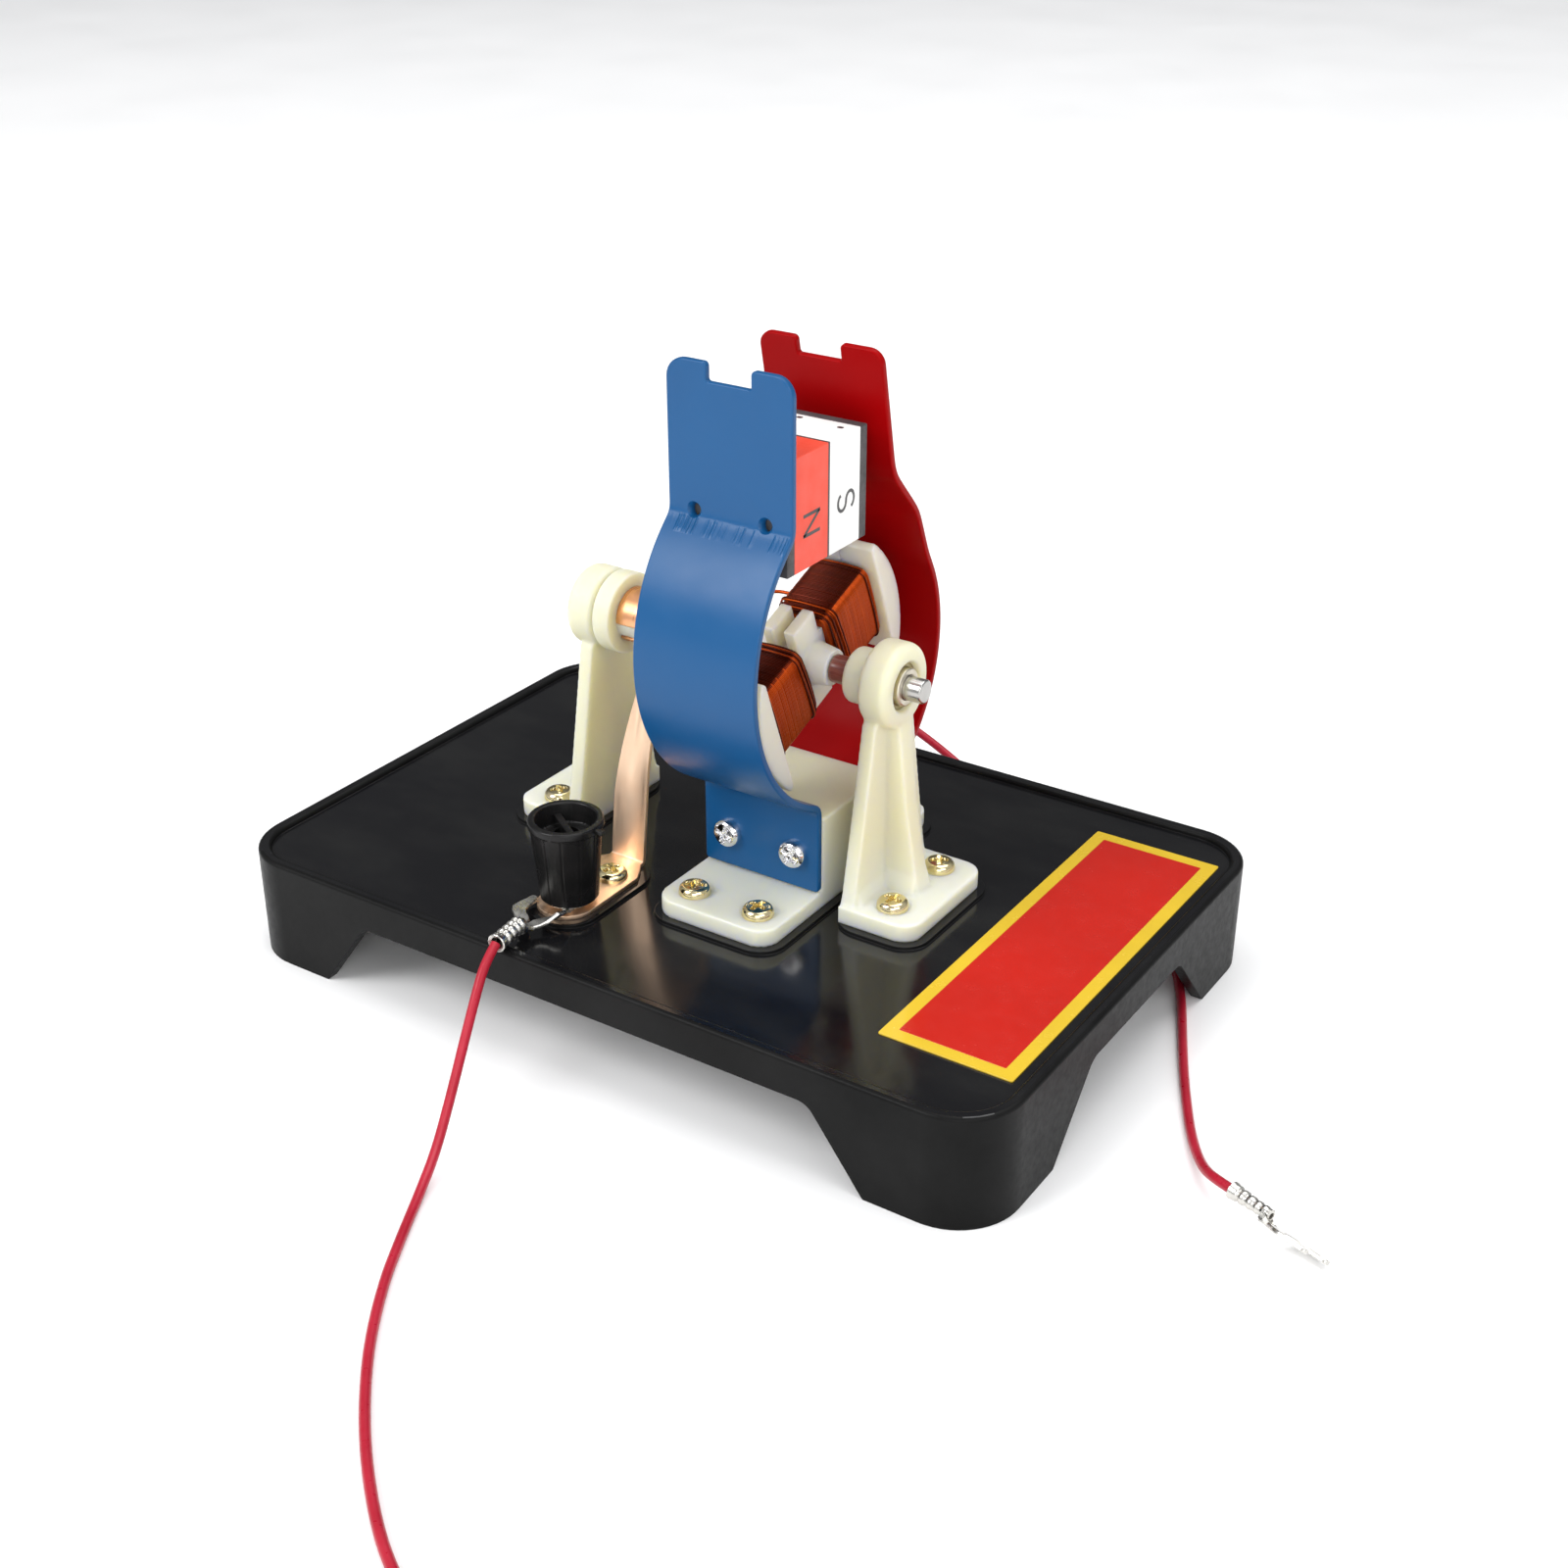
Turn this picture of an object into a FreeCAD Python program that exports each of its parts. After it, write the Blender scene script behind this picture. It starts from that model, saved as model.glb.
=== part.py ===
import FreeCAD, Part
import Sketcher
import math
import os

from FreeCAD import Placement, Rotation
from FreeCAD import Vector as V

# Demonstration electric motor on a moulded base.
# Frame: millimetres, +Z up, origin at the middle of the underside of the base.
# X runs along the base and along the armature shaft, -Y is the side of the near pole piece.

doc = FreeCAD.newDocument("DemonstrationMotor")
sheet = doc.addObject("Spreadsheet::Sheet", "Dims")

# ---------------------------------------------------------------- driving dimensions
TABLE = [
    # base moulding
    ("base_length", 150.0), ("base_width", 100.0), ("base_height", 20.0), ("base_corner", 11.0),
    ("wall", 2.2), ("panel_drop", 1.0), ("panel_thick", 2.2), ("lip_width", 2.3),
    ("apron_height", 13.5), ("long_gap_top", 44.5), ("long_gap_foot", 54.5),
    ("short_gap_top", 16.0), ("short_gap_foot", 28.0),
    ("island_rise", 0.6), ("island_margin", 1.3), ("boss_radius", 3.2), ("boss_bottom", 13.6),
    # rating plate, left bare
    ("plate_x", 48.0), ("plate_y", -35.5), ("plate_length", 23.0), ("plate_width", 75.5), ("plate_thick", 0.4),
    # shaft line
    ("axis_z", 58.6), ("shaft_radius", 2.0), ("shaft_rear", -34.5), ("shaft_front", 34.5),
    # bearing brackets, drawn once and used twice
    ("flange_inner", 26.3), ("flange_outer", 40.3), ("flange_half", 12.4), ("flange_top", 22.8),
    ("flange_corner", 3.6), ("upright_thick", 2.6), ("upright_foot", 11.7), ("upright_head", 5.9),
    ("upright_head_z", 55.0), ("boss_outer", 7.1), ("boss_depth", 4.8), ("boss_proud", 0.6), ("rib_half", 1.9), ("rib_foot", 35.4),
    ("rib_head", 31.0), ("rib_head_z", 52.6), ("bush_outer", 3.25), ("bush_bore", 2.05), ("bush_length", 5.7),
    ("boss_recess", 4.1), ("recess_depth", 1.2), ("bracket_screw_x", 33.9), ("bracket_screw_y", 7.6),
    ("bracket_mirror", -1.8),
    # pole bracket
    ("pole_x0", -0.9), ("pole_length", 22.6), ("pole_half", 26.4), ("pole_flange_top", 22.7), ("pole_corner", 3.6),
    ("block_half", 10.0), ("block_top", 36.3), ("pole_screw_x", 6.3), ("pole_screw_y", 21.5),
    ("side_screw_x", 6.5), ("side_screw_z", 29.3),
    # pole pieces, bent steel strip
    ("strip_thick", 1.2), ("strip_bottom", 23.0),
    ("blue_cy", -0.35), ("blue_cz", 65.36), ("blue_radius", 29.25), ("blue_crease", -19.1), ("blue_top_y", -19.1), ("blue_top", 112.0),
    ("red_cy", 1.5), ("red_cz", 57.0), ("red_radius", 25.9), ("red_bend_z", 72.0), ("red_mid_y", 18.9), ("red_mid_z", 80.9),
    ("red_crease_y", 11.0), ("red_crease_z", 89.4), ("red_top_y", 6.6), ("red_top", 110.3),
    ("notch_half", 4.0), ("notch_depth", 2.9), ("blue_ear", 3.2), ("red_ear", 2.4), ("red_notch_shift", -0.25),
    ("dimple_radius", 0.75), ("dimple_half", 6.5), ("dimple_z", 88.9),
    # magnet
    ("magnet_x0", 0.9), ("magnet_length", 19.0), ("magnet_y0", -17.6), ("magnet_width", 22.4),
    ("magnet_bottom", 80.4), ("magnet_top", 98.8), ("magnet_plate", 2.0), ("wrap_thick", 0.2),
    # armature
    ("arm_x", 10.3), ("arm_angle", 21.0), ("arm_radius", 21.3), ("stack_half", 2.3), ("web_half", 3.2),
    ("stack_radius", 21.1), ("stack_shoe", 18.0), ("shoe_angle", 32.0), ("former_half", 3.2), ("former_web", 4.2),
    ("cheek_half", 7.0), ("cheek_angle", 34.0), ("cheek_flat", 16.7), ("hub_half_y", 3.1), ("hub_half_z", 8.6),
    ("nose_large", 3.7), ("nose_small", 3.05), ("nose_end", 7.2), ("wing_gap", 1.0),
    ("coil_inner_y", 3.8), ("coil_outer_y", 16.6), ("coil_half_z", 7.2), ("coil_half_x", 5.3), ("coil_corner", 1.8),
    ("sleeve_x0", 17.6), ("sleeve_x1", 21.2), ("sleeve_radius", 2.35),
    ("stop_x0", 21.3), ("stop_x1", 25.3), ("stop_radius", 4.65),
    # commutator
    ("comm_rear", -26.95), ("comm_disc", -23.5), ("comm_front", -12.0), ("comm_disc_radius", 7.1),
    ("comm_core_radius", 3.7), ("comm_rib_radius", 4.55), ("comm_radius", 4.8), ("comm_gap", 17.0),
    ("washer_x0", -27.2), ("washer_x1", -26.95), ("washer_radius", 5.2),
    # brushes and terminals
    ("post_x", -13.8), ("post_y", 32.2), ("strap_thick", 0.8), ("foot_x0", -19.4), ("foot_x1", -9.1),
    ("foot_nose", 37.4), ("foot_bend", 14.45), ("brush_x0", -18.2), ("brush_x1", -11.4),
    ("knee_y", 12.1), ("knee_z", 39.5), ("brush_top_y", 4.4), ("brush_top_z", 61.5), ("brush_taper", 2.3), ("brush_screw_x", -13.0), ("brush_screw_y", 21.8),
    ("stud_radius", 2.0), ("stud_top", 31.5), ("stud_head_radius", 4.0),
    ("washer_thick", 0.4), ("washer_outer", 4.3), ("knob_bottom", 21.75), ("knob_top", 36.3), ("knob_r_bottom", 4.9),
    ("knob_r_top", 6.3), ("knob_bore", 2.08), ("knob_recess_radius", 4.6), ("knob_recess_depth", 3.6), ("flute_count", 12.0),
    # fasteners
    ("screw_head", 2.7), ("screw_head_height", 1.7), ("screw_shank", 1.35), ("screw_length", 8.6),
    ("side_screw_head", 2.55), ("side_screw_length", 7.0), ("slot_half", 0.35), ("slot_reach", 1.45), ("slot_depth", 0.9),
    # fork terminals and wires
    ("fork_thick", 0.7), ("fork_half", 4.8), ("fork_slot", 2.75), ("fork_prong", 5.2), ("fork_neck", 1.6),
    ("barrel_radius", 1.6), ("barrel_length", 7.4), ("wire_radius", 0.8),
]


class Dim:
    """A number together with the spreadsheet expression that gives it."""

    def __init__(self, v, e):
        self.v, self.e = float(v), e

    def __add__(self, o):
        o = dim(o)
        return Dim(self.v + o.v, "(%s + %s)" % (self.e, o.e))

    __radd__ = __add__

    def __sub__(self, o):
        o = dim(o)
        return Dim(self.v - o.v, "(%s - %s)" % (self.e, o.e))

    def __rsub__(self, o):
        return dim(o) - self

    def __mul__(self, o):
        o = dim(o)
        return Dim(self.v * o.v, "(%s * %s)" % (self.e, o.e))

    __rmul__ = __mul__

    def __truediv__(self, o):
        o = dim(o)
        return Dim(self.v / o.v, "(%s / %s)" % (self.e, o.e))

    def __neg__(self):
        return Dim(-self.v, "(0 - %s)" % self.e)


def dim(o):
    return o if isinstance(o, Dim) else Dim(o, repr(float(o)))


for row, (alias, value) in enumerate(TABLE, start=1):
    sheet.set("A%d" % row, alias)
    sheet.set("B%d" % row, repr(value))
    sheet.setAlias("B%d" % row, alias)
doc.recompute()


def S(alias):
    return Dim(float(getattr(sheet, alias)), "Dims." + alias)


def cosd(a):
    return Dim(math.cos(math.radians(a.v)), "cos(%s * 1deg)" % a.e)


def sind(a):
    return Dim(math.sin(math.radians(a.v)), "sin(%s * 1deg)" % a.e)


nodes = []


def keep(obj, label):
    obj.Label = label
    nodes.append(obj)
    return obj


def bind(obj, **props):
    for name, q in props.items():
        q = dim(q)
        setattr(obj, name, q.v)
        obj.setExpression(name, q.e)


def place(obj, x=0, y=0, z=0, axis=None, angle=0.0):
    rot = Rotation(V(*axis), angle) if axis else Rotation()
    x, y, z = dim(x), dim(y), dim(z)
    obj.Placement = Placement(V(x.v, y.v, z.v), rot)
    for k, q in (("x", x), ("y", y), ("z", z)):
        if "Dims." in q.e:
            obj.setExpression("Placement.Base." + k, q.e)
    return obj


def new_body(name):
    return doc.addObject("PartDesign::Body", name)


def new_sketch(body, role, offset=0):
    """A sketch on one of the body's own origin planes, moved along that plane's normal."""
    sk = body.newObject("Sketcher::SketchObject", body.Name + "Sketch")
    plane = [f for f in body.Origin.OriginFeatures if f.Role == role][0]
    sk.AttachmentSupport = [(plane, "")]
    sk.MapMode = "FlatFace"
    offset = dim(offset)
    sk.AttachmentOffset = Placement(V(0, 0, offset.v), Rotation())
    if "Dims." in offset.e:
        sk.setExpression("AttachmentOffset.Base.z", offset.e)
    return sk


def pin_axis(sk, geo, pos, k, q):
    q = dim(q)
    n = sk.addConstraint(Sketcher.Constraint(("DistanceX", "DistanceY")[k], -1, 1, geo, pos, q.v))
    cname = "c%d" % n
    sk.renameConstraint(n, cname)
    if "Dims." in q.e:
        sk.setExpression("Constraints." + cname, q.e)


def pin_point(sk, geo, pos, x, y):
    pin_axis(sk, geo, pos, 0, x)
    pin_axis(sk, geo, pos, 1, y)


def radius_of(sk, geo, r):
    n = sk.addConstraint(Sketcher.Constraint("Radius", geo, dim(r).v))
    cname = "c%d" % n
    sk.renameConstraint(n, cname)
    if "Dims." in dim(r).e:
        sk.setExpression("Constraints." + cname, dim(r).e)


def loop(sk, pts):
    """Closed outline. Each entry is (x, y) or (x, y, cx, cy, ccw): the last three
    say that the edge to the next point is an arc about (cx, cy)."""
    first = sk.GeometryCount
    n = len(pts)
    for i in range(n):
        a, b = pts[i], pts[(i + 1) % n]
        ax, ay, bx, by = dim(a[0]).v, dim(a[1]).v, dim(b[0]).v, dim(b[1]).v
        if len(a) == 2:
            sk.addGeometry(Part.LineSegment(V(ax, ay, 0), V(bx, by, 0)), False)
        else:
            cx, cy = dim(a[2]).v, dim(a[3]).v
            r = math.hypot(ax - cx, ay - cy)
            a0, a1 = math.atan2(ay - cy, ax - cx), math.atan2(by - cy, bx - cx)
            if not a[4]:
                a0, a1 = a1, a0
            if a1 < a0:
                a1 += 2 * math.pi
            sk.addGeometry(Part.ArcOfCircle(Part.Circle(V(cx, cy, 0), V(0, 0, 1), r), a0, a1), False)

    def start(i):
        return 1 if len(pts[i]) == 2 or pts[i][4] else 2

    for i in range(n):
        j = (i + 1) % n
        sk.addConstraint(Sketcher.Constraint("Coincident", first + i, 3 - start(i), first + j, start(j)))
    for i in range(n):
        pin_point(sk, first + i, start(i), pts[i][0], pts[i][1])
        if len(pts[i]) == 5:
            # both ends are held, so one coordinate of the centre settles the arc
            j = (i + 1) % n
            dx, dy = dim(pts[j][0]).v - dim(pts[i][0]).v, dim(pts[j][1]).v - dim(pts[i][1]).v
            k = 0 if abs(dy) >= abs(dx) else 1
            pin_axis(sk, first + i, 3, k, pts[i][2 + k])


def circle(sk, x, y, r):
    g = sk.addGeometry(Part.Circle(V(dim(x).v, dim(y).v, 0), V(0, 0, 1), dim(r).v), False)
    pin_point(sk, g, 3, x, y)
    radius_of(sk, g, r)


def rect(sk, x0, y0, x1, y1):
    loop(sk, [(x0, y0), (x1, y0), (x1, y1), (x0, y1)])


def must_hold(*objs):
    for o in objs:
        if "Up-to-date" not in o.State or (o.TypeId.startswith("PartDesign::") and o.Shape.isNull()):
            raise RuntimeError("%s: %s %s" % (o.Name, o.State, o.getStatusString()))


def feature(body, kind, sk, **props):
    f = body.newObject("PartDesign::" + kind, body.Name + kind)
    f.Profile = sk
    for name, q in props.items():
        if isinstance(q, Dim):
            bind(f, **{name: q})
        else:
            setattr(f, name, q)
    body.Tip = f
    doc.recompute()
    must_hold(f, sk)
    return f


def volume_change(body, make, sign, what):
    before = body.Shape.Volume
    make()
    after = body.Shape.Volume
    if (after - before) * sign <= 1e-6:
        raise RuntimeError("%s did nothing: %.3f to %.3f" % (what, before, after))


def pad(body, sk, length, reverse=False):
    return feature(body, "Pad", sk, Length=dim(length), Reversed=reverse)


def pocket(body, sk, length, reverse=False):
    """Cuts away from the sketch's normal; reverse cuts along it."""
    def make():
        feature(body, "Pocket", sk, Length=dim(length), Reversed=reverse)
    volume_change(body, make, -1, body.Name + " pocket")


def dress(body, kind, size, test):
    """Fillet or chamfer of the tip's edges that pass the test."""
    base = body.Tip
    names = ["Edge%d" % (i + 1) for i, e in enumerate(base.Shape.Edges) if test(e)]
    if not names:
        raise RuntimeError(body.Name + ": no edge to dress")
    f = body.newObject("PartDesign::" + kind, body.Name + kind)
    f.Base = (base, names)
    if kind == "Fillet":
        bind(f, Radius=size)
    else:
        bind(f, Size=size)
    body.Tip = f
    doc.recompute()
    must_hold(f)
    return f


def upright(e, tol=1e-6):
    return e.Curve.TypeId == "Part::GeomLine" and abs(abs(e.Curve.Direction.z) - 1) < tol


def along(e, axis):
    return e.Curve.TypeId == "Part::GeomLine" and abs(abs(e.Curve.Direction.dot(V(*axis))) - 1) < 1e-6


def mid(e):
    return e.CenterOfMass


# ---------------------------------------------------------------- base moulding
L2, W2 = S("base_length") / 2, S("base_width") / 2
top, panel = S("base_height"), S("base_height") - S("panel_drop")
island = panel + S("island_rise")

base = new_body("Base")
sk = new_sketch(base, "XY_Plane")
rect(sk, -L2, -W2, L2, W2)
pad(base, sk, top)
dress(base, "Fillet", S("base_corner"), upright)
sk = new_sketch(base, "XY_Plane")
w = S("wall")
r_in = S("base_corner") - w


def rounded(sk, hx, hy, r, cx=0, cy=0):
    """Rounded rectangle of half sizes hx, hy about cx, cy."""
    hx, hy, r, cx, cy = dim(hx), dim(hy), dim(r), dim(cx), dim(cy)
    x0, x1, y0, y1 = cx - hx, cx + hx, cy - hy, cy + hy
    loop(sk, [
        (x0 + r, y0), (x1 - r, y0, x1 - r, y0 + r, True),
        (x1, y0 + r), (x1, y1 - r, x1 - r, y1 - r, True),
        (x1 - r, y1), (x0 + r, y1, x0 + r, y1 - r, True),
        (x0, y1 - r), (x0, y0 + r, x0 + r, y0 + r, True),
    ])


# hollow underside
rounded(sk, L2 - w, W2 - w, r_in)
pocket(base, sk, panel - S("panel_thick"), reverse=True)
# sunk top panel inside the lip
sk = new_sketch(base, "XY_Plane", top)
rounded(sk, L2 - S("lip_width"), W2 - S("lip_width"), S("base_corner") - S("lip_width"))
pocket(base, sk, S("panel_drop"))
# gaps in the long walls and in the end walls, leaving four corner feet
ah = S("apron_height")
for role, gap_top, gap_foot, half in (("XZ_Plane", S("long_gap_top"), S("long_gap_foot"), W2),
                                      ("YZ_Plane", S("short_gap_top"), S("short_gap_foot"), L2)):
    sk = new_sketch(base, role, half + 1)
    loop(sk, [(-gap_foot, -1), (gap_foot, -1), (gap_foot, 0), (gap_top, ah), (-gap_top, ah), (-gap_foot, 0)])
    pocket(base, sk, half * 2 + 2)
# the gaps' upper corners are rounded
dress(base, "Fillet", dim(3.5), lambda e: abs(mid(e).z - S("apron_height").v) < 0.01 and (
    (along(e, (0, 1, 0)) and abs(abs(mid(e).x) - S("long_gap_top").v) < 0.01)
    or (along(e, (1, 0, 0)) and abs(abs(mid(e).y) - S("short_gap_top").v) < 0.01)))

m = S("island_margin")
pole_cx = S("pole_x0") + S("pole_length") / 2
fx0, fx1 = S("flange_inner"), S("flange_outer")
bm = S("bracket_mirror")
# raised seats under the three brackets and the two brush feet
seats = [
    (pole_cx, 0, S("pole_length") / 2 + m, S("pole_half") + m, S("pole_corner") + m),
    ((fx0 + fx1) / 2, 0, (fx1 - fx0) / 2 + m, S("flange_half") + m, S("flange_corner") + m),
    (bm - (fx0 + fx1) / 2, 0, (fx1 - fx0) / 2 + m, S("flange_half") + m, S("flange_corner") + m),
]
foot_cx = (S("foot_x0") + S("foot_x1")) / 2
foot_hx = (S("foot_x1") - S("foot_x0")) / 2
seat_back = S("foot_bend") + 1.1
for sgn in (-1, 1):
    cy = (S("foot_nose") + seat_back) / 2 * sgn
    seats.append((foot_cx, cy, foot_hx + m, (S("foot_nose") - seat_back) / 2 + m, foot_hx + m - 0.8))
for cx, cy, hx, hy, r in seats:
    sk = new_sketch(base, "XY_Plane", panel)
    rounded(sk, hx, hy, r, cx, cy)
    pad(base, sk, S("island_rise"))
# screw and stud bosses below the panel
flange_holes = [(pole_cx + S("pole_screw_x") * a, S("pole_screw_y") * b) for a in (-1, 1) for b in (-1, 1)]
flange_holes += [(S("bracket_screw_x"), S("bracket_screw_y") * b) for b in (-1, 1)]
flange_holes += [(bm - S("bracket_screw_x"), S("bracket_screw_y") * b) for b in (-1, 1)]
brush_holes = [(S("brush_screw_x"), S("brush_screw_y") * b) for b in (-1, 1)]
post_holes = [(S("post_x"), S("post_y") * b) for b in (-1, 1)]
bb = S("boss_bottom")
for x, y in flange_holes + brush_holes:
    sk = new_sketch(base, "XY_Plane", bb)
    circle(sk, x, y, S("boss_radius"))
    pad(base, sk, panel - S("panel_thick") - bb)
for x, y in flange_holes + brush_holes:
    sk = new_sketch(base, "XY_Plane", bb - 1)
    circle(sk, x, y, S("screw_shank") + 0.02)
    pocket(base, sk, island - bb + 2, reverse=True)
for x, y in post_holes:
    sk = new_sketch(base, "XY_Plane", bb)
    circle(sk, x, y, S("stud_radius") + 0.05)
    pocket(base, sk, island - bb + 1, reverse=True)
# softened outer rim
dress(base, "Fillet", dim(0.7), lambda e: abs(e.BoundBox.ZMin - top.v) < 1e-4 and abs(e.BoundBox.ZMax - top.v) < 1e-4
      and max(abs(mid(e).x) - (L2.v - 3.3), abs(mid(e).y) - (W2.v - 3.3)) > 0)
keep(base, "base")

# ---------------------------------------------------------------- bare rating plate
plate = doc.addObject("Part::Box", "RatingPlate")
bind(plate, Length=S("plate_length"), Width=S("plate_width"), Height=S("plate_thick"))
place(plate, S("plate_x"), S("plate_y"), panel)
keep(plate, "label_plate")


# ---------------------------------------------------------------- bearing brackets
def bearing_bracket(name, label, turned):
    b = new_body(name)
    fh, fc = S("flange_half"), S("flange_corner")
    sk = new_sketch(b, "XY_Plane", island)
    loop(sk, [(fx0, -fh), (fx1 - fc, -fh, fx1 - fc, -fh + fc, True), (fx1, -fh + fc), (fx1, fh - fc, fx1 - fc, fh - fc, True),
              (fx1 - fc, fh), (fx0, fh)])
    pad(b, sk, S("flange_top") - island)
    # tapering upright
    sk = new_sketch(b, "YZ_Plane", fx0)
    uf, uh = S("upright_foot"), S("upright_head")
    zf = S("flange_top") - 0.5
    loop(sk, [(-uf, zf), (uf, zf), (uh, S("upright_head_z")), (uh, S("axis_z")), (-uh, S("axis_z")), (-uh, S("upright_head_z"))])
    pad(b, sk, S("upright_thick"))
    # bearing boss, a little proud of the upright's inner face
    bp_, bd_ = fx0 - S("boss_proud"), fx0 + S("boss_depth")
    sk = new_sketch(b, "YZ_Plane", bp_)
    circle(sk, 0, S("axis_z"), S("boss_outer"))
    pad(b, sk, bd_ - bp_)
    # rounded outer rim of the boss, and a small round at the inner one
    for at, size in ((bd_, 1.1), (bp_, 0.45)):
        dress(b, "Fillet", dim(size), lambda e: e.Curve.TypeId == "Part::GeomCircle"
              and abs(e.Curve.Radius - S("boss_outer").v) < 1e-6 and abs(e.BoundBox.XMin - at.v) < 0.05
              and abs(e.BoundBox.XMax - at.v) < 0.05)
    # stiffening rib
    sk = new_sketch(b, "XZ_Plane", -S("rib_half"))
    xi = fx0 + 1
    loop(sk, [(xi, zf), (S("rib_foot"), zf), (S("rib_head"), S("rib_head_z")), (xi, S("rib_head_z"))])
    pad(b, sk, S("rib_half") * 2)
    # bush seat and its outer recess
    sk = new_sketch(b, "YZ_Plane", fx0 - 2)
    circle(sk, 0, S("axis_z"), S("bush_outer"))
    pocket(b, sk, S("boss_depth") + 4, reverse=True)
    sk = new_sketch(b, "YZ_Plane", fx0 + S("boss_depth"))
    circle(sk, 0, S("axis_z"), S("boss_recess"))
    pocket(b, sk, S("recess_depth"))
    for s in (-1, 1):
        sk = new_sketch(b, "XY_Plane", island - 1)
        circle(sk, S("bracket_screw_x"), S("bracket_screw_y") * s, S("screw_shank") + 0.1)
        pocket(b, sk, S("flange_top") - island + 2, reverse=True)
    if turned:
        place(b, bm, 0, 0, (0, 0, 1), 180.0)
    else:
        place(b)
    return keep(b, label)


bearing_bracket("BracketFront", "bearing_bracket_front", False)
bearing_bracket("BracketRear", "bearing_bracket_rear", True)


def ring(name, outer, inner, length, x, label):
    """Tube about the shaft line, starting at x."""
    o = doc.addObject("Part::Cylinder", name + "Outer")
    bind(o, Radius=outer, Height=length)
    i = doc.addObject("Part::Cylinder", name + "Inner")
    bind(i, Radius=inner, Height=length)
    c = doc.addObject("Part::Cut", name)
    c.Base, c.Tool = o, i
    place(c, x, 0, S("axis_z"), (0, 1, 0), 90.0)
    return keep(c, label)


bush_start = fx0 - S("boss_proud") - 0.1
ring("BushFront", S("bush_outer"), S("bush_bore"), S("bush_length"), bush_start, "bush_front")
ring("BushRear", S("bush_outer"), S("bush_bore"), S("bush_length"), bm - bush_start - S("bush_length"), "bush_rear")

# ---------------------------------------------------------------- pole bracket
pb = new_body("PoleBracket")
sk = new_sketch(pb, "XY_Plane", island)
rounded(sk, S("pole_length") / 2, S("pole_half"), S("pole_corner"), pole_cx, 0)
pad(pb, sk, S("pole_flange_top") - island)
sk = new_sketch(pb, "XY_Plane", island)
rect(sk, S("pole_x0"), -S("block_half"), S("pole_x0") + S("pole_length"), S("block_half"))
pad(pb, sk, S("block_top") - island)
for x, y in flange_holes[:4]:
    sk = new_sketch(pb, "XY_Plane", island - 1)
    circle(sk, x, y, S("screw_shank") + 0.1)
    pocket(pb, sk, S("pole_flange_top") - island + 2, reverse=True)
for s in (-1, 1):
    # blind pilot holes for the side screws, from each face of the block
    sk = new_sketch(pb, "XZ_Plane", S("block_half") * -s)
    circle(sk, pole_cx + S("side_screw_x"), S("side_screw_z"), S("screw_shank") + 0.02)
    circle(sk, pole_cx - S("side_screw_x"), S("side_screw_z"), S("screw_shank") + 0.02)
    pocket(pb, sk, S("side_screw_length"), reverse=(s > 0))
keep(pb, "pole_bracket")


# ---------------------------------------------------------------- pole pieces
def arc_y(cy, cz, r, z, side):
    """Where the circle about cy, cz crosses height z."""
    dz = z - cz
    v = cy.v + side * math.sqrt(r.v ** 2 - dz.v ** 2)
    return Dim(v, "(%s + %d * sqrt(%s * %s - %s * %s))" % (cy.e, side, r.e, r.e, dz.e, dz.e))


def arc_z(cy, cz, r, y, side):
    """Where the circle about cy, cz crosses the line at y."""
    dy = y - cy
    v = cz.v + side * math.sqrt(r.v ** 2 - dy.v ** 2)
    return Dim(v, "(%s + %d * sqrt(%s * %s - %s * %s))" % (cz.e, side, r.e, r.e, dy.e, dy.e))


def finish_strip(b, top_z, normal_sign, ear, shift=0.0):
    """Notch, round ears, screw holes and the two locating dimples."""
    x0, x1 = S("pole_x0"), S("pole_x0") + S("pole_length")
    sk = new_sketch(b, "XZ_Plane", -60)
    rect(sk, pole_cx - S("notch_half") + shift, top_z - S("notch_depth"), pole_cx + S("notch_half") + shift, top_z + 2)
    pocket(b, sk, dim(120), reverse=True)
    for s in (-1, 1):
        sk = new_sketch(b, "XZ_Plane", -60 if normal_sign > 0 else 0)
        circle(sk, pole_cx + S("side_screw_x") * s, S("side_screw_z"), S("screw_shank") + 0.1)
        pocket(b, sk, dim(60), reverse=True)
        sk = new_sketch(b, "XZ_Plane", -60 if normal_sign > 0 else 0)
        circle(sk, pole_cx + S("dimple_half") * s, S("dimple_z"), S("dimple_radius"))
        pocket(b, sk, dim(60), reverse=True)
    dress(b, "Fillet", ear, lambda e: e.Curve.TypeId == "Part::GeomLine" and abs(e.Curve.Direction.x) < 1e-6
          and mid(e).z > top_z.v - 0.5 and min(abs(mid(e).x - x0.v), abs(mid(e).x - x1.v)) < 1e-3
          and abs(e.Length - S("strip_thick").v) < 0.6)


t = S("strip_thick")
foot_in, foot_out = S("block_half"), S("block_half") + S("strip_thick")

blue = new_body("PolePieceBlue")
cy, cz, ro = S("blue_cy"), S("blue_cz"), S("blue_radius")
ri = ro - t
sk = new_sketch(blue, "YZ_Plane", S("pole_x0"))
yo, yi = S("blue_crease"), S("blue_crease") + t
loop(sk, [
    (-foot_out, S("strip_bottom")),
    (-foot_out, arc_z(cy, cz, ro, -foot_out, -1), cy, cz, False),
    (yo, arc_z(cy, cz, ro, yo, 1)),
    (S("blue_top_y"), S("blue_top")),
    (S("blue_top_y") + t, S("blue_top")),
    (yi, arc_z(cy, cz, ri, yi, 1), cy, cz, True),
    (-foot_in, arc_z(cy, cz, ri, -foot_in, -1)),
    (-foot_in, S("strip_bottom")),
])
pad(blue, sk, S("pole_length"))
finish_strip(blue, S("blue_top"), -1, S("blue_ear"))
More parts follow.
